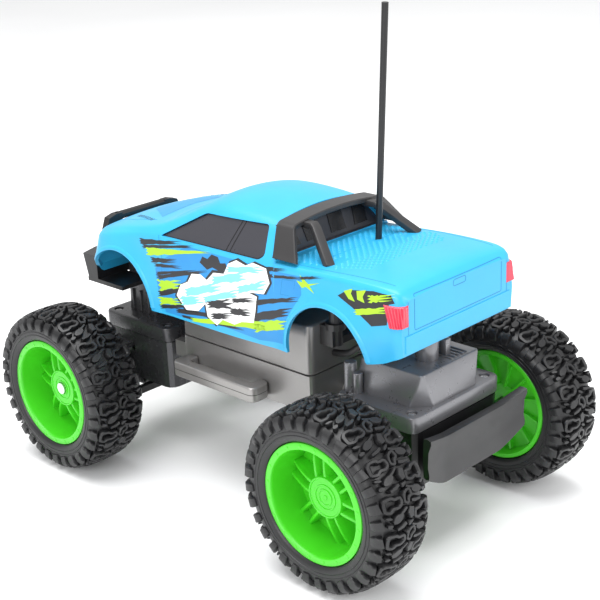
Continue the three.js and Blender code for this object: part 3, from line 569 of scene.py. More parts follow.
def rim_hub(front):
    """The hub with its raised rings: open on the front wheels, capped on the rear ones."""
    bore = 2.6 if front else 0.9
    made = [lathe("hub", [
        (bore, 66.0), (HUB_R, 66.0), (10.9, 68.0), (10.9, 79.0), (10.5, 79.6), (9.9, 79.6), (9.6, 79.1),
        (6.9, 79.1), (6.7, 79.5), (6.1, 79.5), (5.9, 79.1), (4.6, 79.1), (4.4, 79.5), (3.8, 79.5),
        (3.5, 79.1), (bore + 0.3, 79.1), (bore, 78.9),
    ], n=64)]
    if not front:
        cap = [(0.02, 78.2), (1.2, 78.2), (1.2, 79.0), (1.0, 79.3), (0.02, 79.4)]
        made.append(lathe("cap", cap, n=32))
    return made


def strip_out(name, degrees, stations, section_at):
    """A strip running out from the hub; section_at gives (sideways, y) pairs for each station."""
    d, t = radial(degrees)
    rings = []
    for r, level in stations:
        points = [(d * r + t * across, y) for across, y in section_at(r, level)]
        rings.append([(p.x, y, p.z) for p, y in points])
    return loft(name, rings)


def spoke_pair(degrees):
    """Two thin ribs that spread a little outwards, with a raised floor between them."""
    made = []
    half = 0.95

    def widen(r):
        return 1 + 0.25 * (r - HUB_R) / 17

    for off in (-2.9, 2.9):
        def rib(r, top, off=off):
            edge = ((-half - 0.35, 68.0), (-half, top - 0.5), (-half + 0.35, top))
            return [(off * widen(r) + w, y) for w, y in edge + tuple((-w, y) for w, y in reversed(edge))]

        ribs = ((HUB_R, 79.0), (13, 78.7), (18, 77.6), (23, 76.0), (26.9, 74.4))
        made.append(strip_out("spoke", degrees, ribs, rib))

    def floor_at(r, y):
        return [(w * widen(r), level) for w, level in ((-3.4, 68.0), (-3.4, y), (3.4, y), (3.4, 68.0))]

    made.append(strip_out("spoke_floor", degrees, ((10.4, 72.4), (18, 71.6), (26.4, 70.6)), floor_at))
    return made


def web_at(r, y):
    """The section of a web on the rim's hidden side."""
    return [(-0.6, 66.9), (-0.6, y), (0.6, y), (0.6, 66.9)]


def lip_dome(degrees):
    """A low dome on the rim's lip."""
    d, _ = radial(degrees)
    rings = []
    for r, rise in ((0.95, -0.2), (0.85, 0.14), (0.5, 0.28), (0.1, 0.32)):
        rings.append([(x, FACE_Y + rise, z) for x, z in disc(d.x * 29.55, d.z * 29.55, r, 10)])
    return loft("dome", rings)


def rim_mesh(front):
    pieces = [rim_barrel()] + rim_hub(front)
    for i in range(SPOKE_PAIRS):
        pieces += spoke_pair(60 * i + 14)
    webs = ((9.4, 63.6), (18, 64.4), (27.4, 62.6))
    pieces += [strip_out("web", 30 * i, webs, web_at) for i in range(12)]
    pieces += [lip_dome(18 * i + 6) for i in range(20)]
    return join("rim", pieces)


def place_wheel(source, name, x, left, turn):
    mesh = source.data.copy()
    mesh.transform(Matrix.Rotation(math.radians(turn), 4, "Y"))
    mesh.transform(Matrix.Translation((x * MM, 0, AXLE_Z * MM)))
    if not left:
        mesh.transform(Matrix.Scale(-1, 4, (0, 1, 0)))
        mesh.flip_normals()
    ob = bpy.data.objects.new(name, mesh)
    SCENE.collection.objects.link(ob)
    return ob


TYRE = tyre_mesh()
RIM = {"front": rim_mesh(True), "rear": rim_mesh(False)}
START_TURN = {"front_left": 8, "front_right": 31, "rear_left": 0, "rear_right": 17}
for end, x in (("front", AXLE_X), ("rear", -AXLE_X)):
    for hand in ("left", "right"):
        corner = f"{end}_{hand}"
        body = "rear_wheels" if end == "rear" else f"{hand}_front_wheel"
        where = (x, hand == "left", START_TURN[corner])
        tread = place_wheel(TYRE, corner + "_tread", *where)
        done(tread, RUBBER, body, "tyre_rubber", corner + "_tyre", angle=30)
        wheel = place_wheel(RIM[end], corner + "_wheel", *where)
        done(wheel, GREEN, body, "rim_green", corner + "_rim", angle=40)
for source in (TYRE, RIM["front"], RIM["rear"]):
    bpy.data.objects.remove(source)


# ---------------------------------------------------------------- body shell
FRONT_ARCH = (83.0, 100.0, 28.0)
REAR_ARCH = (-78.5, 103.0, 27.0)
# x, sill z, side y, side z, shoulder y, shoulder z, top edge y, top edge z, crown z
FRONT_SECTIONS = [
    (111.5, 109, 29, 118, 27, 127, 23, 129.6, 130.2),
    (110.6, 108, 35, 118, 33, 129.4, 28, 132.2, 133.0),
    (108.0, 107, 41.5, 118.5, 39, 131.4, 34, 134.6, 136.0),
    (104.0, 107, 45.2, 119, 42.6, 132.6, 37, 136.2, 138.4),
    (96.0, 106, 47.0, 119, 44.4, 134.4, 39, 138.4, 141.4),
    (80.0, 102, 47.4, 119, 45.0, 137.8, 40.6, 142.2, 145.6),
    (62.0, 99, 47.4, 118, 45.3, 140.6, 41.6, 145.6, 148.6),
    (50.0, 98, 47.4, 118, 45.2, 141.8, 40.4, 148.6, 151.4),
    (38.0, 98, 47.4, 118, 45.0, 142.4, 37.6, 153.6, 156.4),
    (26.0, 98, 47.4, 118, 44.8, 142.9, 35.1, 158.8, 163.0),
    (15.0, 98, 47.4, 118, 44.6, 143.3, 33.5, 162.3, 166.8),
    (0.0, 98, 47.4, 118, 44.6, 143.7, 33.2, 163.5, 168.2),
    (-18.0, 98.3, 47.4, 118, 44.6, 144.0, 32.9, 163.2, 167.4),
    (-33.0, 98.8, 47.4, 118, 44.7, 144.2, 32.5, 162.2, 165.6),
    (-41.6, 99.2, 47.4, 118.4, 44.8, 144.3, 32.2, 161.4, 164.8),
]
REAR_SECTIONS = [
    (-41.8, 99.2, 47.4, 118.4, 45.3, 143.6, 43.6, 145.2, 146.0),
    (-60.0, 100.6, 47.6, 120, 45.4, 144.2, 43.6, 146.0, 147.0),
    (-85.0, 104, 47.8, 121, 45.4, 144.8, 43.6, 147.2, 148.6),
    (-105.0, 107.5, 47.8, 122, 45.2, 144.8, 43.4, 147.4, 149.0),
    (-115.0, 110, 47.6, 123, 45.0, 144.4, 43.0, 147.0, 148.6),
    (-120.5, 112.6, 47.0, 124, 44.2, 143.4, 42.0, 145.8, 147.2),
    (-123.2, 113.6, 45.8, 125, 43.0, 141.6, 40.4, 144.0, 145.2),
    (-124.2, 114.2, 44.6, 126, 41.8, 139.6, 39.0, 142.0, 143.0),
]


def spline_rows(table, count):
    """Rows interpolated along X, evenly spaced, through every stated row."""
    out = []
    rows = [[float(v) for v in r] for r in table]
    xs = [r[0] for r in rows]
    for i in range(count):
        x = xs[0] + (xs[-1] - xs[0]) * i / (count - 1)
        k = 0
        while k < len(xs) - 2 and x < xs[k + 1]:
            k += 1
        x0, x1 = xs[k], xs[k + 1]
        t = (x - x0) / (x1 - x0)
        row = [x]
        for c in range(1, len(rows[0])):
            h = x1 - x0
            p1, p2 = rows[k][c], rows[k + 1][c]
            slope1 = slope2 = (p2 - p1) / h
            if k > 0:
                slope1 = (p2 - rows[k - 1][c]) / (x1 - xs[k - 1])
            if k < len(xs) - 2:
                slope2 = (rows[k + 2][c] - p1) / (xs[k + 2] - x0)
            t2, t3 = t * t, t * t * t
            ends = (2 * t3 - 3 * t2 + 1) * p1 + (3 * t2 - 2 * t3) * p2
            row.append(ends + (t3 - 2 * t2 + t) * h * slope1 + (t3 - t2) * h * slope2)
        out.append(row)
    return out


def half_ring(row, shrink, rounds=5):
    """One side of a body section, from the sill to the crown, softened and moved inwards by shrink."""
    _, sill, side, side_z, sh_y, sh_z, ed_y, ed_z, crown = row
    pts = []
    corners = [(side - 1.0, sill), (side, side_z), (sh_y, sh_z), (ed_y, ed_z)]
    for (a, b), count in zip(zip(corners, corners[1:]), (12, 10, 10)):
        for i in range(count):
            t = i / count
            pts.append((a[0] + (b[0] - a[0]) * t, a[1] + (b[1] - a[1]) * t))
    for i in range(15):
        t = i / 14
        y = ed_y * (1 - t)
        pts.append((y, crown - (crown - ed_z) * (y / ed_y) ** 2))
    for _ in range(rounds):
        near = zip(pts, pts[1:], pts[2:])
        mid = [((p[0] + 2 * q[0] + r[0]) / 4, (p[1] + 2 * q[1] + r[1]) / 4) for p, q, r in near]
        pts = [pts[0]] + mid + [pts[-1]]
    if shrink:
        moved = []
        for i, (y, z) in enumerate(pts):
            a, b = pts[max(i - 1, 0)], pts[min(i + 1, len(pts) - 1)]
            ty, tz = b[0] - a[0], b[1] - a[1]
            k = math.hypot(ty, tz)
            moved.append((max(0.0, y - tz / k * shrink), z + ty / k * shrink))
        moved[-1] = (0.0, pts[-1][1] - shrink)
        pts = moved
    return pts


def flare(x, z):
    """How far the wings swell round the arches."""
    out = 0.0
    for cx, cz, r in (FRONT_ARCH, REAR_ARCH):
        d = math.hypot(x - cx, z - cz) - r
        if z > cz - 14:
            out += 1.5 * math.exp(-((max(d, 0) / 6.5) ** 2))
    return out


def shell_form(name, tables, shrink, low=-200, high=200, drop=0):
    """The body's form as a closed solid, kept between two places along X; drop lowers its sill."""
    rings = []
    for table, count in tables:
        for row in spline_rows(table, count):
            if not low < row[0] < high:
                continue
            half = half_ring(row, shrink)
            grown = [(y + (flare(row[0], z) if y > 36 and z < 140 else 0), z) for y, z in half]
            if drop:
                grown = [(grown[0][0], grown[0][1] - drop)] + grown
            ring = grown + [(-y, z) for y, z in reversed(grown[:-1])]
            rings.append([(row[0], y, z) for y, z in ring])
    return loft(name, rings)


def arch_tool(arch):
    x, z, r = arch
    outline = [(x + r * math.cos(math.pi * i / 40), z + r * math.sin(math.pi * i / 40)) for i in range(41)]
    outline += [(x - r, z - 40), (x + r, z - 40)]
    return prism("arch", outline, "y", -70, 70)


SIDE_WINDOW = [(46.8, 142.9), (17.2, 158.9), (-28.8, 160.4), (-33.2, 146.6), (-28.6, 143.7)]
CAB_END = [(-33.2, 170), (-33.4, 163), (-40.4, 146.4), (-62, 146.4), (-62, 170)]

WALL = 1.7
WHOLE_BODY = [(FRONT_SECTIONS, 78), (REAR_SECTIONS, 44)]
shell = shell_form("shell", WHOLE_BODY, 0)
hollow = shell_form("hollow", WHOLE_BODY, WALL, -122.4, 109.4, 8)
cut_away(shell, [hollow])
window_tool = prism("side_window", rounded(SIDE_WINDOW, 2.2), "y", -60, 60)
screen_outline = rounded([(-36.4, 151.4), (-28.4, 161.6), (28.4, 161.6), (36.4, 151.4)], 2.5)
screen_tool = prism("screen", screen_outline, "x", 19, 70)
cab_tool = prism("cab_end", CAB_END, "y", -60, 60)
cut_away(shell, [arch_tool(FRONT_ARCH), arch_tool(REAR_ARCH), window_tool, screen_tool, cab_tool])
SHELL_TREE = BVHTree.FromObject(shell, bpy.context.evaluated_depsgraph_get())
done(shell, BLUE, "chassis", "body_blue", "body_shell", angle=30)

glazing = shell_form("glazing", [([r for r in FRONT_SECTIONS if r[0] < 63], 50)], 1.1)
glass_end = [(x + 1.6, z) for x, z in CAB_END[:3]] + [(-38.8, 120), (-70, 120), (-70, 170)]
below_glass = box("under", (-80, -60, 80), (90, 60, 139.5))
cut_away(glazing, [prism("end", glass_end, "y", -60, 60), below_glass])
done(glazing, GLASS, "chassis", "window_grey", "window_liner", angle=30)
GLASS_TREE = BVHTree.FromObject(glazing, bpy.context.evaluated_depsgraph_get())


# ---------------------------------------------------------------- marks laid on the shell
RAYS = {
    "side": lambda u, v: ((u, 70, v), (0, -1, 0)),
    "top": lambda u, v: ((u, v, 190), (0, 0, -1)),
    "rear": lambda u, v: ((-160, u, v), (1, 0, 0)),
}


def on_surface(view, u, v, lift, tree=None):
    """The point of the shell seen from one side, lifted off it, in millimetres."""
    start, way = RAYS[view](u, v)
    hit, normal, _, _ = (tree or SHELL_TREE).ray_cast(Vector(start) * MM, Vector(way))
    if hit is None:
        return None
    if normal.dot(Vector(way)) > 0:
        normal = -normal
    p = hit / MM + normal * lift
    return (p.x, p.y, p.z)


def resample(points, step, loop=False):
    pts = [Vector(p) for p in points]
    if loop:
        pts.append(pts[0])
    out = []
    for a, b in zip(pts, pts[1:]):
        n = max(1, int((b - a).length / step))
        out += [a + (b - a) * (i / n) for i in range(n)]
    if not loop:
        out.append(pts[-1])
    return out


def line_on(name, view, points, width, lift=0.06, loop=False, tree=None, depth=0.25):
    """A narrow strip with a small thickness, laid along a path on the shell."""
    pts = resample(points, 1.5, loop)
    n = len(pts)
    rings = []
    for i, p in enumerate(pts):
        a = pts[(i - 1) % n] if loop else pts[max(i - 1, 0)]
        b = pts[(i + 1) % n] if loop else pts[min(i + 1, n - 1)]
        d = (b - a).normalized()
        side = Vector((-d.y, d.x)) * width / 2
        shape = ((-1, -depth), (-1, lift), (1, lift), (1, -depth))
        corners = [on_surface(view, *(p + side * s), h, tree) for s, h in shape]
        rings.append(None if None in corners else corners)
    verts, faces = [], []
    base = [None] * n
    for i, ring in enumerate(rings):
        if ring:
            base[i] = len(verts)
            verts += ring
    for i in range(n if loop else n - 1):
        j = (i + 1) % n
        if base[i] is None or base[j] is None:
            continue
        if (Vector(rings[i][1]) - Vector(rings[j][1])).length > 5:
            continue
        faces += [(base[i] + k, base[i] + (k + 1) % 4, base[j] + (k + 1) % 4, base[j] + k) for k in range(4)]
    for i in range(n):
        if base[i] is None:
            continue
        before = base[(i - 1) % n] is None if loop else (i == 0 or base[i - 1] is None)
        after = base[(i + 1) % n] is None if loop else (i == n - 1 or base[i + 1] is None)
        if before or after:
            faces.append(tuple(base[i] + k for k in range(4)))
    return new_object(name, verts, faces)


def patch_on(name, view, outline, lift, step=2.5):
    """A thin printed area: the outline cut into small cells and laid on the shell."""
    bm = bmesh.new()
    bm.faces.new([bm.verts.new((p[0], p[1], 0)) for p in outline])
    us, vs = [p[0] for p in outline], [p[1] for p in outline]
    for axis, low, high in ((0, min(us), max(us)), (1, min(vs), max(vs))):
        k = math.floor(low / step) + 1
        while k * step < high:
            co = (k * step, 0, 0) if axis == 0 else (0, k * step, 0)
            no = (1, 0, 0) if axis == 0 else (0, 1, 0)
            whole = bm.verts[:] + bm.edges[:] + bm.faces[:]
            bmesh.ops.bisect_plane(bm, geom=whole, plane_co=co, plane_no=no, dist=1e-4)
            k += 1
    bmesh.ops.triangulate(bm, faces=bm.faces)
    lost = []
    for v in bm.verts:
        p = on_surface(view, v.co.x, v.co.y, lift)
        if p is None or (view == "side" and p[1] < 25):
            lost.append(v)
        else:
            v.co = Vector(p) * MM
    bmesh.ops.delete(bm, geom=lost, context="VERTS")
    out = Vector({"side": (0, 1, 0), "top": (0, 0, 1)}[view])
    bm.normal_update()
    for f in bm.faces:
        if f.normal.dot(out) < 0:
            f.normal_flip()
    mesh = bpy.data.meshes.new(name)
    bm.to_mesh(mesh)
    bm.free()
    ob = bpy.data.objects.new(name, mesh)
    SCENE.collection.objects.link(ob)
    return ob


def both_sides(ob, name, mat, slot="body_blue"):
    other = mirrored(ob, name + "_right")
    done(ob, mat, "chassis", slot, angle=60)
    done(other, mat, "chassis", slot, angle=60)


def star(points, grow):
    """An outline moved outwards from its middle."""
    cx = sum(p[0] for p in points) / len(points)
    cz = sum(p[1] for p in points) / len(points)
    out = []
    for x, z in points:
        k = math.hypot(x - cx, z - cz)
        out.append((x + (x - cx) / k * grow, z + (z - cz) / k * grow))
    return out


def streak(x0, z0, x1, z1, w0, w1, seed):
    """A band with torn ends, from its thick front end to its thin rear one."""
    rng = random.Random(seed)
    d = Vector((x1 - x0, z1 - z0))
    n = Vector((-d.y, d.x)).normalized()
    upper, lower = [], []
    for i in range(9):
        t = i / 8
        w = (w0 + (w1 - w0) * t) / 2
        mid = Vector((x0, z0)) + d * t
        upper.append(mid + n * w * (1 + 0.22 * rng.uniform(-1, 1)))
        lower.append(mid - n * w * (1 + 0.22 * rng.uniform(-1, 1)))
    tips = []
    for k in range(5):
        base = upper[-1] + (lower[-1] - upper[-1]) * (k + 0.5) / 5
        tips.append(base + d.normalized() * (rng.uniform(2.5, 8) if k % 2 == 0 else -rng.uniform(1, 4)))
    ends = []
    for k in range(5):
        base = lower[0] + (upper[0] - lower[0]) * (k + 0.5) / 5
        ends.append(base - d.normalized() * (rng.uniform(0.5, 2) if k % 2 == 0 else -rng.uniform(0.5, 1.5)))
    return [(p.x, p.y) for p in upper + tips + lower[::-1] + ends]


WAVE = [
    (41, 132), (25, 141), (-14, 141), (-38, 141), (-60, 142), (-62, 133), (-52, 118), (-50, 104), (-30, 101),
    (-5, 102), (20, 99.5), (44, 99.5), (48, 112), (50, 124),
]
BLOB_1 = [
    (33, 112), (29, 119), (23, 122), (20, 127), (13, 128), (8, 126), (3, 131), (-5, 132), (-8, 138),
    (-14, 141), (-21, 139.6), (-26, 142), (-36, 141), (-39, 134), (-35, 127.4), (-24, 126), (-15, 120),
    (-4, 119), (2, 114), (10, 112), (16, 106.6), (26, 105),
]
BLOB_2 = [
    (10, 115), (5, 118.6), (-3, 118), (-10, 122.6), (-18, 123), (-23, 126), (-30, 125), (-29, 117),
    (-27, 110), (-18, 108.4), (-12, 105.4), (-3, 106), (2, 101.6), (9, 105),
]
REAR_PATCH = [
    (-86, 138), (-92, 142), (-108, 144.6), (-118, 144.4), (-120.4, 141), (-117.4, 140), (-117, 130),
    (-108, 127.5), (-96, 134),
]
BLOT = [
    (14, 134.4), (12, 138), (8, 137.4), (5, 140.4), (0, 140), (-2, 137), (-6, 137.8), (-8, 134.4),
    (-3, 132.4), (4, 133.6), (8, 131.6),
]
# Name, ink, height above the shell and outlines, from the lowest print to the highest.
DECALS = [
    ("decal_ground", INK_MID, 0.05, [WAVE]),
    ("decal_dark", INK_DARK, 0.10, [
        streak(62.5, 137, 36, 141, 3.2, 1.6, 1),
        streak(60, 134.6, 24, 141, 1.8, 1.2, 2),
        streak(53, 128.2, 38, 130.6, 3.0, 2.0, 3),
        streak(50, 126, 34, 128, 2.0, 1.4, 4),
        streak(48.5, 121.4, 22, 128, 1.6, 1.0, 5),
        streak(47.5, 119.4, 14, 129, 2.2, 1.4, 6),
        streak(47.6, 110, 16, 120, 3.4, 2.4, 7),
        streak(47, 102, 26, 107, 2.4, 1.6, 8),
        streak(-30, 139.6, -46, 142.6, 3.0, 1.6, 9),
        streak(-36, 137.4, -57, 140.6, 1.8, 1.2, 10),
        streak(-28, 121.4, -55, 129, 2.8, 2.0, 11),
        streak(-26, 112.6, -51, 121.2, 4.6, 4.0, 12),
        streak(34, 102.6, -22, 110, 2.6, 3.2, 13),
        streak(30, 100.2, -14, 103.6, 1.4, 1.2, 14),
        REAR_PATCH,
        star(BLOB_1, 1.7), star(BLOB_2, 1.4),
        BLOT,
    ]),
    ("decal_lime", INK_LIME, 0.15, [
        streak(57, 132.2, 34, 136.4, 4.4, 3.0, 21),
        streak(40, 135.4, 12, 140.2, 2.4, 1.0, 22),
        streak(47, 115, 34, 118, 6.0, 4.6, 23),
        streak(47.5, 105.4, 34, 108, 4.2, 3.4, 24),
        streak(22, 100, -34, 110, 2.0, 4.6, 25),
        streak(-28, 107.6, -48, 114.4, 5.0, 4.6, 26),
        [(-58, 139.6), (-62, 136.6), (-74, 141.5), (-66, 139.4)],
        [(-60, 143), (-66, 139.6), (-71, 135.6), (-63, 138.4)],
        streak(-106, 140.4, -112.5, 142.0, 3.4, 2.8, 27),
        streak(-98, 132.4, -114.5, 136.4, 3.2, 2.8, 28),
        [(-89.6, 141.0), (-95, 143.2), (-94.2, 140.6), (-97, 137.2), (-93, 137.8)],
        [(-97.6, 142.6), (-103.4, 144.2), (-101.6, 140.6), (-103, 137.8), (-98.4, 138.6)],
    ]),
    ("decal_white", INK_WHITE, 0.20, [BLOB_1, BLOB_2]),
    ("decal_pale", INK_PALE, 0.26, [
        streak(29, 109.4, 15, 113.6, 5.0, 4.0, 41),
        streak(25, 115.6, 2, 123, 4.4, 4.8, 42),
        streak(10, 114.6, -12, 122.6, 3.0, 3.4, 43),
        streak(3, 127, -18, 133, 4.0, 4.6, 44),
        streak(-8, 135, -30, 139, 3.2, 3.0, 45),
        streak(-16, 125.6, -33, 131.6, 3.4, 4.0, 46),
    ]),
    ("decal_marks", INK_DARK, 0.26, [
        streak(7, 112.4, -8, 116.4, 4.0, 4.4, 51),
        streak(5, 106.4, -6, 109, 3.0, 3.6, 52),
        streak(-9.6, 112.6, -22, 114.6, 3.0, 4.0, 53),
        streak(-12, 119, -25, 122, 2.0, 2.2, 54),
        streak(-60.6, 141.2, -70, 143.4, 1.5, 1.2, 31),
    ]),
]
for name, ink, lift, shapes in DECALS:
    parts = [patch_on(name, "side", shape, lift) for shape in shapes]
    both_sides(join(name + "_left", parts), name, ink)

seams = [
    line_on("seam", "side", [(48, 143), (45, 135), (44, 113), (20, 113), (9, 113)], 0.35),
    line_on("seam", "side", [(-16, 141), (-12, 124), (-14, 112)], 0.35),
    line_on("seam", "side", [(-48, 138), (-57, 139), (-56, 131), (-47, 130)], 0.35, loop=True),
]
both_sides(join("side_seams_left", seams), "side_seams", BLUE_DARK)
rounded_gate = rounded([(-34.7, 125.6), (34.7, 125.6), (34.7, 143.6), (-34.7, 143.6)], 1.2)
handle = rounded([(-5, 139.2), (5, 139.2), (5, 142.4), (-5, 142.4)], 1.5)
done(join("tailgate_lines", [
    line_on("gate", "rear", rounded_gate, 0.4, loop=True),
    line_on("handle", "rear", handle, 0.4, loop=True),
    line_on("corner", "rear", [(39.4, 116), (39.4, 141)], 0.35),
    line_on("corner", "rear", [(-39.4, 116), (-39.4, 141)], 0.35),
]), BLUE_DARK, "chassis", "body_blue")
done(join("bed_lines", [
    line_on("rail", "top", [(-50, 40.6), (-80, 40.8), (-116, 38.6)], 0.35),
    line_on("rail", "top", [(-50, -40.6), (-80, -40.8), (-116, -38.6)], 0.35),
    line_on("hood", "top", [(62, 33), (84, 32), (101, 27), (104, 0), (101, -27), (84, -32), (62, -33)], 0.35),
]), BLUE_DARK, "chassis", "body_blue")

# The hood recess is not cut into the shell: a darker blue patch laid over it is painted shade for the recess.
HOOD_RECESS_SHADE = moulded("hood_recess_painted_shade", (0.016, 0.270, 0.530), 0.38, vary=0.05)
HOOD_RECESS = [(62, 29), (88, 12), (91, 0), (88, -12), (62, -29), (66, 0)]
done(patch_on("hood_recess", "top", HOOD_RECESS, 0.10), HOOD_RECESS_SHADE, "chassis", "body_blue")
# The hood vents are not cut: black strips laid on the shell are painted shade for the slots' dark openings.
vents = []
for i in range(8):
    x = 66 + i * 3.1
    y = 33.0 - i * 1.15
    for sign in (1, -1):
        slot = [(x - 0.6, sign * (y - 1.2)), (x + 0.6, sign * (y + 1.2))]
        vents.append(line_on("vent", "top", slot, 1.0, lift=0.12))
done(join("hood_vents_painted_shade", vents), BLACK_MOULDING_AND_SHADE, "chassis", "body_blue")


def proud(name, view, us, vs, lift, sink=0.6):
    """A raised panel: a grid laid above the shell with its rim turned down into it."""
    verts = []
    for i, v in enumerate(vs):
        for j, u in enumerate(us):
            edge = i in (0, len(vs) - 1) or j in (0, len(us) - 1)
            verts.append(on_surface(view, u, v, -sink if edge else lift))
    faces = [f for f in grid_faces(len(vs), len(us)) if all(verts[k] is not None for k in f)]
    used = sorted({k for f in faces for k in f})
    where = {k: i for i, k in enumerate(used)}
    return new_object(name, [verts[k] for k in used], [tuple(where[k] for k in f) for f in faces])


def spread(a, b, n):
    """Evenly spaced values with a short first and last step for a crisp edge."""
    inner = [a + 0.35 + (b - a - 0.7) * i / n for i in range(n + 1)]
    return [a] + inner + [b]


fascia = proud("rear_fascia", "rear", spread(-42, 42, 40), spread(115.2, 124.4, 6), 0.45)
done(fascia, BLUE, "chassis", "body_blue")

# Guessed nose: a slatted grille between two lamps.
RAYS["front"] = lambda u, v: ((170, u, v), (-1, 0, 0))
grille = proud("grille_panel", "front", spread(-21, 21, 20), spread(112.6, 127.2, 8), 0.25)
done(grille, BLACK_MOULDING_AND_SHADE, "chassis", "body_blue")
slats = [line_on("slat", "front", [(-20, z), (20, z)], 1.3, lift=1.0) for z in (115.4, 118.6, 121.8, 125.0)]
done(join("grille_slats", slats), GRAPHITE, "chassis", "body_blue")
LAMP_WHITE = moulded("headlamp", (0.62, 0.64, 0.66), 0.22, grain=900, vary=0.04, coat=0.5, coat_rough=0.1)
for sign, hand in ((1, "left"), (-1, "right")):
    low, high = sorted((sign * 23.5, sign * 34.5))
    lens = proud(f"{hand}_headlamp", "front", spread(low, high, 10), spread(117.5, 127.0, 6), 0.5)
    done(lens, LAMP_WHITE, "chassis", "body_blue")

# Fine staggered relief on the front part of the bed, clear of the aerial and the struts' feet.
RELIEF_PITCH = 4.3
SIDES = 8


def bead_ring(x, y, half_x, half_y, height):
    return [on_surface("top", x + b * half_x, y + a * half_y, height) for a, b in disc(0, 0, 1, SIDES)]


verts, faces = [], []
for row in range(22):
    x = -46.5 - row * 2.15
    half = 37 - max(0, row - 15) * 1.2
    for k in range(int(half * 2 / RELIEF_PITCH) + 1):
        y = -half + RELIEF_PITCH * k + (RELIEF_PITCH / 2 if row % 2 else 0)
        if abs(y) > half or math.hypot(x + 61.2, y + 13) < 3.4:
            continue
        if 23 < abs(y) and -73 < x < -66:
            continue
        top = on_surface("top", x, y, 0.42)
        points = bead_ring(x, y, 0.72, 1.75, -0.1) + bead_ring(x, y, 0.42, 1.0, 0.3) + [top]
        if None in points:
            continue
        base = len(verts)
        verts += points
        for q in range(SIDES):
            r = (q + 1) % SIDES
            faces.append((base + q, base + r, base + SIDES + r, base + SIDES + q))
            faces.append((base + SIDES + q, base + SIDES + r, base + 2 * SIDES))
done(new_object("bed_relief", verts, faces), BLUE, "chassis", "body_blue", angle=80)

# Lips round the wheel arches.
for tag, (cx, cz, r), a0, a1 in (("front", FRONT_ARCH, -6, 186), ("rear", REAR_ARCH, -4, 184)):
    rings = []
    for i in range(61):
        a = math.radians(a0 + (a1 - a0) * i / 60)
        corners = []
        for rr, h in ((r + 0.02, -1.5), (r + 0.02, 0.55), (r + 0.9, 0.75), (r + 2.3, 0.35), (r + 3.1, -0.3)):
            corners.append(on_surface("side", cx + rr * math.cos(a), cz + rr * math.sin(a), h))
        outer = [c for c in corners if c is not None]
        if len(outer) == 5 and all(c[1] > 30 for c in outer):
            rings.append(corners)
    both_sides(loft(f"{tag}_arch_lip_left", rings), f"{tag}_arch_lip", BLUE)

# Tail lamps with upright ribs, wrapping the rear corners.
AROUND = Vector((0.70711, -0.70711, 0))
LAMP_ROWS, LAMP_COLUMNS = 15, 35


def lamp_point(i, j):
    """A point of the left lamp's lens; its rim is sunk into the shell."""
    rise = 11.6 * i / (LAMP_ROWS - 1)
    z = 128.3 + rise
    s = -60.3 + (9.6 + 0.22 * rise) * j / (LAMP_COLUMNS - 1)
    origin = Vector((0.70711, 0.70711, 0)) * s - AROUND * 160 + Vector((0, 0, z))
    hit = SHELL_TREE.ray_cast(origin * MM, AROUND)[0]
    edge = i in (0, LAMP_ROWS - 1) or j in (0, LAMP_COLUMNS - 1)
    out = -0.8 if edge else 1.05 + 0.28 * math.cos(math.pi * j / 2)
    return tuple(hit / MM - AROUND * out)


verts = [lamp_point(i, j) for i in range(LAMP_ROWS) for j in range(LAMP_COLUMNS)]
lens = new_object("left_lamp_lens", verts, grid_faces(LAMP_ROWS, LAMP_COLUMNS))
if sum((f.normal.x for f in lens.data.polygons)) > 0:
    lens.data.flip_normals()
other_lens = mirrored(lens, "right_lamp_lens")
done(lens, RED, "chassis", "lamp_red", "left_tail_lamp", angle=25)
done(other_lens, RED, "chassis", "lamp_red", "right_tail_lamp", angle=25)

# ---------------------------------------------------------------- glazing details
pillars = []
for x_low, x_high in ((-9.0, -14.6), (-12.2, -17.0)):
    path = [(x_low + 6.2, 140.2), (x_high + 4, 161.6)]
    pillars.append(line_on("pillar", "side", path, 0.55, lift=0.12, tree=GLASS_TREE))
edge = rounded(star(SIDE_WINDOW, -0.5), 2.0)
edge_line = line_on("window_seal", "side", edge, 0.7, lift=0.1, loop=True, tree=GLASS_TREE)
seal = join("window_lines_left", pillars + [edge_line])
both_sides(seal, "window_lines", PANE, "window_grey")


def on_cab_end(y, t, out):
    """A point on the slanted rear of the cab: t runs from its foot to the roof."""
    x = -38.8 + (-31.8 + 38.8) * t - 0.927 * out
    z = 146.4 + (163.5 - 146.4) * t + 0.375 * out
    return (x, y, z)


panes = []
for y0, y1, lean in ((-31, -21, 2.5), (-14, -2.5, 1.0), (5, 16, -1.0), (21, 31, -2.5)):
    corners = ((y0, 0.12), (y1, 0.12), (y1 - lean, 0.84), (y0 - lean + 1, 0.84))
    panes.append(loft("pane", [[on_cab_end(y, t, out) for y, t in corners] for out in (-0.3, 0.35)]))
done(join("rear_panes", panes), PANE, "chassis", "window_grey")

# ---------------------------------------------------------------- roll bar
def hoop_x(z):
    """The hoop's front and rear edges at a height."""
    t = (z - 146.8) / (165 - 146.8)
    return -40.2 + 6.6 * t, -56.6 + 11.8 * t


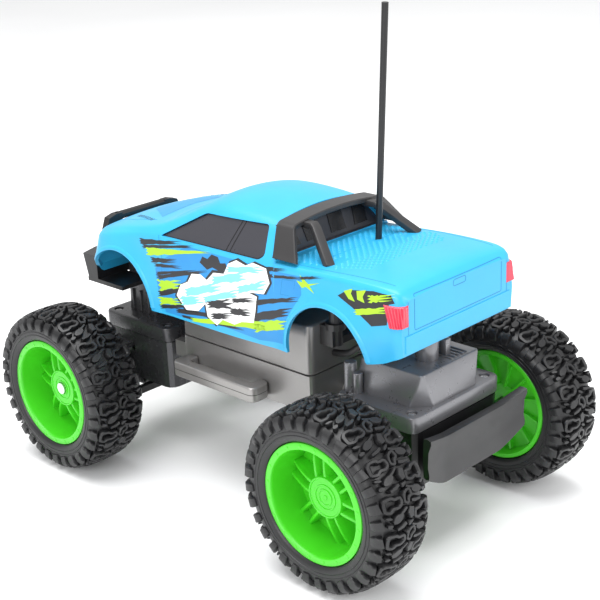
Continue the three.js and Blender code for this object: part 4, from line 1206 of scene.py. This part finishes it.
hoop_half = [
    (43.8, 146.85), (42.0, 149.2), (39.6, 153.0), (37.2, 156.8), (35.1, 160.0), (34.1, 161.2), (32.6, 162.0),
    (30.0, 162.4), (26.0, 162.8), (18.0, 163.5), (8.0, 164.0), (0.0, 164.1),
]
hoop_path = spline([(0, y, z) for y, z in hoop_half], 44)
hoop_path += [Vector((0, -p.y, p.z)) for p in reversed(hoop_path[:-1])]
rings = []
for i, p in enumerate(hoop_path):
    d = (hoop_path[min(i + 1, len(hoop_path) - 1)] - hoop_path[max(i - 1, 0)]).normalized()
    out = Vector((0, d.z, -d.y))
    if out.z < 0 and abs(p.y) < 40:
        out = -out
    if abs(p.y) >= 40 and out.y * p.y < 0:
        out = -out
    xf, xr = hoop_x(p.z)
    ring = []
    front = [(xf - 0.5, 1.4), (xf, 0.9), (xf, -1.0), (xf - 0.5, -1.45)]
    rear = [(xr + 0.5, -1.45), (xr, -1.0), (xr, 0.9), (xr + 0.5, 1.4)]
    for x, h in front + rear:
        q = p + out * h
        ring.append((x, q.y, max(q.z, 146.81)))
    rings.append(ring)
hoop = loft("hoop", rings)
struts = []
for sign in (1, -1):
    top = []
    for x, y, z in ((-42.5, 24.0, 161.6), (-51.0, 24.4, 161.6), (-52.8, 25.2, 160.4), (-70.9, 35.0, 145.9)):
        top.append(Vector((x, y * sign, z)))
    rings = []
    for i, p in enumerate(top):
        d = (top[min(i + 1, 3)] - top[max(i - 1, 0)]).normalized()
        side = Vector((0, 1, 0)) - d * d.y
        side.normalize()
        over = side.cross(d).normalized()
        corners = ((2.7, 1.7), (-2.7, 1.7), (-2.7, -1.7), (2.7, -1.7))
        ring = [tuple(p + side * a + over * b) for a, b in corners]
        rings.append(ring)
    struts.append(bevel(loft("strut", rings), 0.55, 2, 30))
done(join("roll_hoop", [hoop] + struts), GRAPHITE, "chassis", "graphite_plastic", "roll_bar", angle=32)

# ---------------------------------------------------------------- chassis, pods and trim
def plate(name, outline, z0, z1, edge=0.7, segments=2):
    return bevel(prism(name, outline, "z", z0, z1), edge, segments, 40)


def tapered(name, low_outline, z0, top_outline, z1):
    """A block between two outlines at two heights."""
    return loft(name, [[(x, y, z0) for x, y in low_outline], [(x, y, z1) for x, y in top_outline]])


def done_join(name, parts, mat, body, slot, *nodes, angle=35):
    return done(join(name, parts), mat, body, slot, *nodes, angle=angle)


# Battery box: the cover sits on the tub with a seam between them.
cover = [plate("cover", round_rect(-50, 51, -30, 30, 4), 79.6, 107.8, 1.2, 3)]
relief = []
ARC_STEPS = [i / 16 for i in range(17)]
for sign in (1, -1):
    arc = [(-12 + 52 * t, 99.0 + 5.5 * math.sin(math.pi * t)) for t in ARC_STEPS]
    arc += [(40 - 52 * t, 84.5 - 1.6 * math.sin(math.pi * t)) for t in ARC_STEPS]
    relief.append(bevel(prism("relief", arc, "y", sign * 29.0, sign * 29.9), 0.3, 1, 40))
for x in (-46, -42.5, -39):
    rib = prism("rib", round_rect(x - 0.7, x + 0.7, 82, 104, 0.6), "y", -29.95, 29.95)
    relief.append(bevel(rib, 0.3, 1, 40))
done_join("box_cover", cover + relief, BOX_GREY, "chassis", "silver_grey_plastic", "chassis_cover")

# Side steps with a seam round the middle of the bar.
steps = prism("step", round_rect(-20, 46, 30.3, 44.2, 4.5), "z", 60.3, 69.1)
cut_away(steps, [prism("slot", round_rect(-12, 38, 20, 37.2, 2.5), "z", 50, 80)])
bevel(steps, 1.0, 3, 40)
seam = prism("seam", round_rect(-20.03, 46.03, 30.3, 44.26, 4.5), "z", 64.55, 64.9)
cut_away(seam, [prism("slot", round_rect(-19.2, 45.2, 29, 43.4, 4), "z", 50, 80)])
step_other = mirrored(steps, "right_step")
seam_other = mirrored(seam, "right_step_seam")
done(steps, STEP_GREY, "chassis", "silver_grey_plastic", "left_side_step")
done(step_other, STEP_GREY, "chassis", "silver_grey_plastic", "right_side_step")
done(seam, BLACK_MOULDING_AND_SHADE, "chassis", "silver_grey_plastic")
done(seam_other, BLACK_MOULDING_AND_SHADE, "chassis", "silver_grey_plastic")

# Rear pod cover: flange, housing, ridges, posts.
flange = plate("flange", round_rect(-124, -72, -36, 36, 5), 70.1, 78.9, 0.9, 2)
pocket = [prism("recess", disc(x, y, 2.9), "z", 76.7, 90) for x in (-78.2, -117.8) for y in (29.8, -29.8)]
cut_away(flange, pocket)


def chamfered(x0, x1, half, rear, front):
    return [
        (x1, half - front), (x1 - front, half), (x0 + rear, half), (x0, half - rear),
        (x0, rear - half), (x0 + rear, -half), (x1 - front, -half), (x1, front - half),
    ]


low_ring = chamfered(-121.8, -74.5, 26.0, 9.0, 2.0)
top_ring = chamfered(-119.4, -79.0, 23.2, 1.2, 1.2)
house = bevel(tapered("house", low_ring, 78.2, top_ring, 96.3), 0.9, 3, 40)
ridges = []
for k in range(9):
    y = -16 + k * 3.1
    if abs(y - 3) < 6.6:
        continue
    outline = round_rect(-117, -99, y - 0.55, y + 0.55, 0.5)
    ridges.append(bevel(prism("ridge", outline, "z", 95.9, 97.0), 0.25, 1, 40))
for x in (-84.5, -88.0, -91.5):
    outline = round_rect(x - 0.6, x + 0.6, -14, 14, 0.55)
    ridges.append(bevel(prism("ridge", outline, "z", 95.9, 97.0), 0.25, 1, 40))
post = bevel(prism("post", disc(-106, 3, 6, 40), "z", 96, 107), 0.6, 2, 40)
cut_away(post, [box("cut", (-107, -12, 102.5), (-105, 12, 120))])
latch = bevel(box("latch", (-112, -9, 96), (-107.5, -5, 105)), 0.5, 2)
bosses = []
for sign in (1, -1):
    bosses.append(bevel(prism("boss", disc(-75.4, sign * 27, 3.3), "z", 78, 94.5), 0.4, 2, 40))
    bosses.append(bevel(prism("boss", disc(-81, sign * 27.6, 2.5), "z", 78, 90.0), 0.4, 2, 40))
cover_parts = [flange, house, post, latch] + ridges + bosses
done_join("rear_cover", cover_parts, POD_GREY, "rear_pod", "pod_grey_plastic", "rear_gearbox_cover")

# Rear bumper: a scooped plate with swept wings, on two lugs.
bumper_rings = []
for y in [-40 + 80 * i / 32 for i in range(33)]:
    wing = max(0.0, abs(y) - 22) / 18
    x_in, top, low = -129.6, 69.4 + 4.2 * wing ** 1.3, 42.6 + 9 * wing ** 1.4
    fore = -3.2 * wing ** 1.5
    mid = (top + low) / 2
    bumper_rings.append([
        (x_in + fore - 0.4, y, top - 0.4), (x_in + fore - 2.4, y, top), (x_in + fore - 4.9, y, top - 0.6),
        (x_in + fore - 5.0, y, top - 2.6), (x_in + fore - 3.4, y, mid + 4), (x_in + fore - 3.0, y, mid - 4),
        (x_in + fore - 3.9, y, low + 2.4), (x_in + fore - 3.6, y, low + 0.4), (x_in + fore - 1.8, y, low),
        (x_in + fore - 0.2, y, low + 1.0), (x_in + fore, y, mid),
    ])
lugs = [bevel(box("lug", (-131, y, 50), (-124.4, y + 6, 60)), 0.5, 2) for y in (12, -18)]
scoop = [loft("scoop", bumper_rings)] + lugs
done_join("rear_scoop", scoop, BUMPER, "rear_pod", "black_plastic", "rear_bumper", angle=28)

# Front pod cover with its pillar.
deck = plate("deck", round_rect(64, 121, -31, 31, 5), 70.1, 78.9, 0.9, 2)
recesses = [(x, y) for x in (70.2, 114.8) for y in (24.8, -24.8)]
cut_away(deck, [prism("recess", disc(x, y, 2.9), "z", 76.7, 90) for x, y in recesses])
pillar_low = round_rect(87.6, 112.2, -19.2, 19.2, 3)
pillar_top = round_rect(89.2, 110.8, -17.8, 17.8, 2.4)
pillar = bevel(tapered("pillar", pillar_low, 78.2, pillar_top, 125.8), 0.8, 2, 40)
fins = [bevel(box("fin", (x, -20.0, 79), (x + 1.4, 20.0, 92)), 0.3, 1) for x in (92, 99, 106)]
cover_parts = [deck, pillar] + fins
done_join("front_cover", cover_parts, FRONT_POD, "chassis", "graphite_plastic", "front_gearbox_cover")


# Cross-head screws.
def screw(name, x, y, z, body, node):
    head = [(0.02, z + 1.35), (1.3, z + 1.25), (2.0, z + 0.95), (2.35, z + 0.35), (2.35, z), (0.02, z)]
    turns = [2 * math.pi * i / 32 for i in range(32)]
    verts = [(x + r * math.cos(a), y + r * math.sin(a), level) for a in turns for r, level in head]
    ob = new_object(name, verts, grid_faces(len(turns), len(head), True, True))
    bar = box("bar", (x - 1.35, y - 0.28, z + 0.5), (x + 1.35, y + 0.28, z + 3))
    cross = box("bar", (x - 0.28, y - 1.35, z + 0.5), (x + 0.28, y + 1.35, z + 3))
    cut_away(ob, [bar, cross])
    shank = prism("shank", disc(x, y, 1.2, 16), "z", z - 11.6, z + 0.1)
    done_join(name, [ob, shank], STEEL, body, "steel", node)


for row, x in (("front", 114.8), ("rear", 70.2)):
    for hand, y in (("left", 24.8), ("right", -24.8)):
        screw(f"front_screw_{row}_{hand}", x, y, 77.0, "chassis", f"front_pod_screw_{row}_{hand}")
for row, x in (("front", -78.2), ("rear", -117.8)):
    for hand, y in (("left", 29.8), ("right", -29.8)):
        screw(f"rear_screw_{row}_{hand}", x, y, 77.0, "rear_pod", f"rear_pod_screw_{row}_{hand}")

# Aerial.
mast = [(-61.3, -13, 141.3), (-63.8, -13, 184.0), (-66.3, -13, 226.6), (-68.8, -13, 269.3)]
done(tube("aerial", spline(mast, 40), 1.75, 20), BLACK_MOULDING_AND_SHADE, "chassis", "black_plastic", "antenna")

# Wiring loom: a fixed sleeve along a curved route.
LOOM_ROUTE = [
    (-50.6, 12, 88), (-56, 12, 89), (-62, 12, 91), (-70, 12, 97), (-78, 12, 103), (-85, 12, 104.8),
    (-91, 12, 103), (-93, 12, 100), (-93, 12, 97.3),
]
loom = tube("loom_sleeve", spline(LOOM_ROUTE, 60), 1.85, 16)
loom.data.materials.append(LOOM)
smooth(loom)
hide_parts("wiring_loom")
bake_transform(loom)

# ---------------------------------------------------------------- CAD pieces kept as they are
KEPT = {
    FRONT_POD: ["front_gearbox_base", "left_steering_knuckle", "right_steering_knuckle"],
    GRAPHITE: ["rear_body_mount"],
    BOX_GREY: ["chassis_tub", "battery_door"],
    BLACK_MOULDING_AND_SHADE: ["rear_gearbox_base", "steering_tie_rod", "power_switch"],
    BUMPER: ["front_bumper_guard"],
    STEEL: [
        "left_stub_axle", "right_stub_axle", "front_motor", "rear_motor", "steering_motor",
        "battery_contact_plate", "battery_door_screw", "pivot_bolt",
    ],
    DARK_STEEL: ["front_drive_shaft", "rear_axle_shaft"],
    WHITE: [
        "front_drive_gear", "front_idler_gear", "front_motor_pinion", "rear_axle_gear", "rear_idler_gear",
        "rear_motor_pinion", "steering_horn",
    ],
    BOARD: ["circuit_board"],
    CELL: ["battery_cell_1", "battery_cell_2", "battery_cell_3"],
}
for mat, names in KEPT.items():
    for node in names:
        for material_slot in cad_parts[node].material_slots:
            material_slot.material = mat

# ---------------------------------------------------------------- camera, light and floor
camera_data = bpy.data.cameras.new("camera")
camera_data.lens = 79.95
camera_data.sensor_width = 36.0
camera = bpy.data.objects.new("camera", camera_data)
SCENE.collection.objects.link(camera)
right = Vector((-0.72372, -0.68898, -0.03909))
up = Vector((0.21046, -0.27432, 0.93833))
back = -Vector((0.65721, -0.67086, -0.34353))
turn = Matrix((right, up, back)).transposed().to_4x4()
camera.matrix_world = Matrix.Translation((-0.49629, 0.49124, 0.35775)) @ turn
camera_data.clip_start = 0.01
camera_data.clip_end = 50
SCENE.camera = camera
SCENE.view_settings.view_transform = "Standard"

floor_mat, floor_tree, floor_bsdf = node_material("floor")
floor_coord = floor_tree.nodes.new("ShaderNodeTexCoord").outputs["Object"]
floor_shades = [(0.3, (0.90, 0.905, 0.91)), (0.7, (0.93, 0.935, 0.94))]
floor_colour = ramp_node(floor_tree, noise_node(floor_tree, floor_coord, 3, 2), floor_shades)
floor_tree.links.new(floor_colour, floor_bsdf.inputs["Base Color"])
floor_bsdf.inputs["Roughness"].default_value = 0.55
FLOOR_HALF = 9000
floor_corners = [(a * FLOOR_HALF, b * FLOOR_HALF, -0.3) for a, b in ((-1, -1), (1, -1), (1, 1), (-1, 1))]
floor = new_object("floor", floor_corners, [(0, 1, 2, 3)])
floor.data.materials.append(floor_mat)

world = bpy.data.worlds.new("studio")
world.use_nodes = True
world.node_tree.nodes["Background"].inputs["Color"].default_value = (1.0, 1.0, 1.0, 1)
world.node_tree.nodes["Background"].inputs["Strength"].default_value = 0.78
SCENE.world = world


def area_light(name, place, aim, size, power):
    data = bpy.data.lights.new(name, "AREA")
    data.shape = "RECTANGLE"
    data.size = size[0]
    data.size_y = size[1]
    data.energy = power
    ob = bpy.data.objects.new(name, data)
    SCENE.collection.objects.link(ob)
    ob.location = place
    ob.rotation_euler = (Vector(aim) - Vector(place)).to_track_quat("-Z", "Y").to_euler()
    return ob


area_light("top_light", (0.1, 0.15, 1.7), (0, 0, 0.05), (1.5, 1.5), 37)
area_light("left_light", (-0.5, 1.5, 0.8), (0, 0, 0.1), (0.9, 0.9), 13)
area_light("rear_light", (-1.6, -0.5, 0.9), (0, 0, 0.1), (0.9, 0.9), 12)
